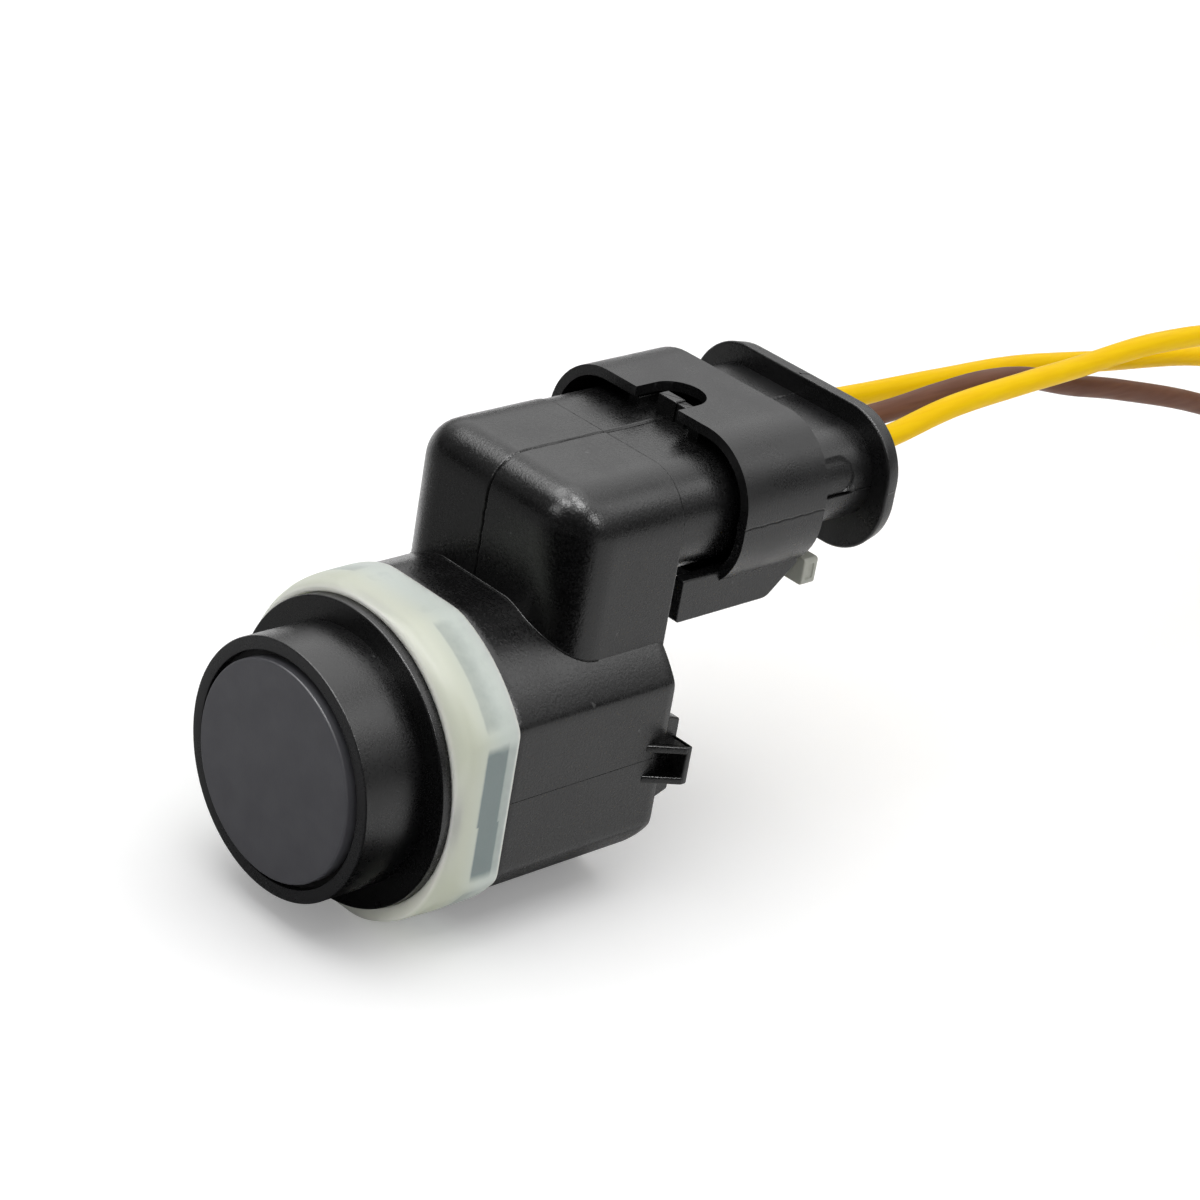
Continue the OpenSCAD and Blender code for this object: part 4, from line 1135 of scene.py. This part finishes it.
for finishName, (colour, shade, roughness, grain, deep, names) in keptFinishes.items():
    finish = plainFinish(finishName, {
        "colour": colour, "shade": shade, "roughness": roughness, "deep": deep,
        "grain": (grain, 3.0, 0.6, drawnMetal.get(finishName)), "cloud": (grain * 7, 2.0, 0.5),
        "metallic": 1.0 if finishName in drawnMetal else 0.0})
    for name in names:
        nodes[name].data.materials.clear()
        nodes[name].data.materials.append(finish)
print("finishes on kept nodes")


# studio: pale floor, overhead softbox, small lamps for the highlights, a grey card on the floor in front
# with a strip under the body that is painted shade for the shadowed floor there, both seen by reflections alone, and
# a surround
studio = {
    "floorTone": 0.93,
    "floorMottle": 0.006,
    "floorGlow": 0.20,
    "farGlow": 0.52,
    "glowReach": (0.16, 0.6),
    "fill": 0.50,
    "frontShare": 0.17,
    "rightShare": 0.5,
    "surroundLow": 0.3,
    "surroundHigh": 1.9,
    "aim": (0.0, 0.02, 0.015),
    "lamps": {
        "softbox": {"at": (0.02, 0.03, 0.5), "aim": (0.01, 0.02, 0.0), "size": 0.6, "power": 1.95, "spread": True},
        "frontEdge": {"at": (-0.215, -0.060, 0.455), "size": 0.25, "power": 1.3},
        "cornerLeft": {"at": (0.012, -0.207, 0.460), "size": 0.09, "power": 0.85},
        "cornerRight": {"at": (0.190, 0.0, 0.475), "size": 0.09, "power": 0.85},
        "cornerTop": {"at": (0.045, 0.017, 0.512), "size": 0.09, "power": 0.70},
        "cornerSide": {"at": (0.380, 0.125, 0.320), "size": 0.09, "power": 0.55},
        "cornerFront": {"at": (-0.028, -0.380, 0.315), "size": 0.09, "power": 0.35},
        "rightBack": {"at": (0.215, 0.345, 0.335), "aim": (0.0, 0.025, 0.015), "size": 0.17, "power": 0.20},
    },
}
card = {"rear": 0.012, "front": -0.6, "halfW": 0.8, "lift": 0.0003, "tone": 0.36, "toneReach": (-0.03, 0.01),
        # the under strip's grey is painted shade for the floor in the body's shadow
        "underRear": 0.030, "underHalfW": 0.012, "underShadeTone": 0.5}


# flat rectangles on the stage, each given by its half width, front, rear and height
def addStage(name, sheets, paint):
    corners = [(side * half, y, z) for half, front, rear, z in sheets
               for side, y in ((-1, front), (1, front), (1, rear), (-1, rear))]
    mesh = bpy.data.meshes.new(name)
    mesh.from_pydata(corners, [], np.arange(len(corners)).reshape(-1, 4).tolist())
    mesh.materials.append(paint)
    sheet = addObject(name, mesh)
    return sheet


# floor paint: a faint mottle, and a glow that reflections and the camera see, stronger far from the object
def floorPaint():
    tone, mottle = studio["floorTone"], studio["floorMottle"]
    paint, tree, shader, place = startFinish("floorPaint", (tone,) * 3, 0.8, 0.1)
    tree.links.new(addRange(tree, addNoise(tree, place, 4.0), 0.3, 0.7, tone - mottle, tone + mottle),
                   shader.inputs["Base Color"])
    rays = tree.nodes.new("ShaderNodeLightPath").outputs
    seen = addMath(tree, "MAXIMUM", rays["Is Camera Ray"],
                   addMath(tree, "MAXIMUM", rays["Is Glossy Ray"], rays["Is Transmission Ray"]))
    reach = tree.nodes.new("ShaderNodeVectorMath")
    reach.operation = "LENGTH"
    tree.links.new(place, reach.inputs["Vector"])
    glow = addRange(tree, reach.outputs["Value"], *studio["glowReach"], studio["floorGlow"], studio["farGlow"])
    shader.inputs["Emission Color"].default_value = (1, 1, 1, 1)
    tree.links.new(addMath(tree, "MULTIPLY", seen, glow), shader.inputs["Emission Strength"])
    return paint


# card paint: in front it fades to black towards the right, and the strip under the body is grey, a painted shade for
# the shadowed floor that the body's underside reflects
def cardPaint():
    paint, tree, shader, place = startFinish("cardPaint", (card["tone"],) * 3, 1.0, 0.0)
    split = addSplit(tree, place)
    front = addRange(tree, split["X"], *card["toneReach"], card["tone"], 0.0)
    # painted shade: the grey strip under the body
    under = addRange(tree, split["Y"], card["rear"], card["rear"] + 0.0002, 0.0, card["underShadeTone"])
    tree.links.new(addMath(tree, "MAXIMUM", front, under), shader.inputs["Base Color"])
    return paint


addStage("floor", [(3, -3, 3, floorZ * mm)], floorPaint())
cardZ = floorZ * mm + card["lift"]
greyCard = addStage("grey_card", [(card["halfW"], card["front"], card["rear"], cardZ),
                                  (card["underHalfW"], card["rear"], card["underRear"], cardZ)], cardPaint())
greyCard.visible_camera = greyCard.visible_diffuse = greyCard.visible_shadow = greyCard.visible_transmission = False

for name, lamp in studio["lamps"].items():
    light = bpy.data.lights.new(name, "AREA")
    light.shape, light.size, light.energy = "SQUARE", lamp["size"], lamp["power"]
    holder = addObject(name, light)
    away = unit(np.array(lamp["at"]) - np.array(lamp.get("aim", studio["aim"])))
    across = unit(np.cross((0.0, 1.0, 0.0), away))
    holder.matrix_world = placed(across, np.cross(away, across), away, lamp["at"])
    holder.visible_camera = False
    holder.visible_diffuse = lamp.get("spread", False)  # the small lamps only make highlights

# surround: plain white for the camera, an even fill, and for reflections a sky that darkens
# downwards, to the front and to the right
world = bpy.data.worlds.new("surround")
world.use_nodes = True
bpy.context.scene.world = world
tree = world.node_tree
sky = tree.nodes["Background"]
sky.inputs["Color"].default_value = (1, 1, 1, 1)
rays = tree.nodes.new("ShaderNodeLightPath").outputs
heading = addSplit(tree, tree.nodes.new("ShaderNodeTexCoord").outputs["Generated"])
bearing = addMath(tree, "MULTIPLY", addRange(tree, heading["Y"], -0.2, 0.3, studio["frontShare"], 1),
                  addRange(tree, heading["X"], -0.2, 0.4, 1, studio["rightShare"]))
height = addRange(tree, heading["Z"], 0.18, 0.46, studio["surroundLow"], studio["surroundHigh"])
glossy = addMath(tree, "MULTIPLY", rays["Is Glossy Ray"], addMath(tree, "MULTIPLY", bearing, height))
lit = addMath(tree, "ADD", glossy, addRange(tree, rays["Is Glossy Ray"], 0, 1, studio["fill"], 0))
seen = addMath(tree, "MAXIMUM", rays["Is Camera Ray"], rays["Is Transmission Ray"])
tree.links.new(addMath(tree, "MAXIMUM", lit, seen), sky.inputs["Strength"])
bpy.context.scene.view_settings.view_transform = "Standard"
print("studio lit")
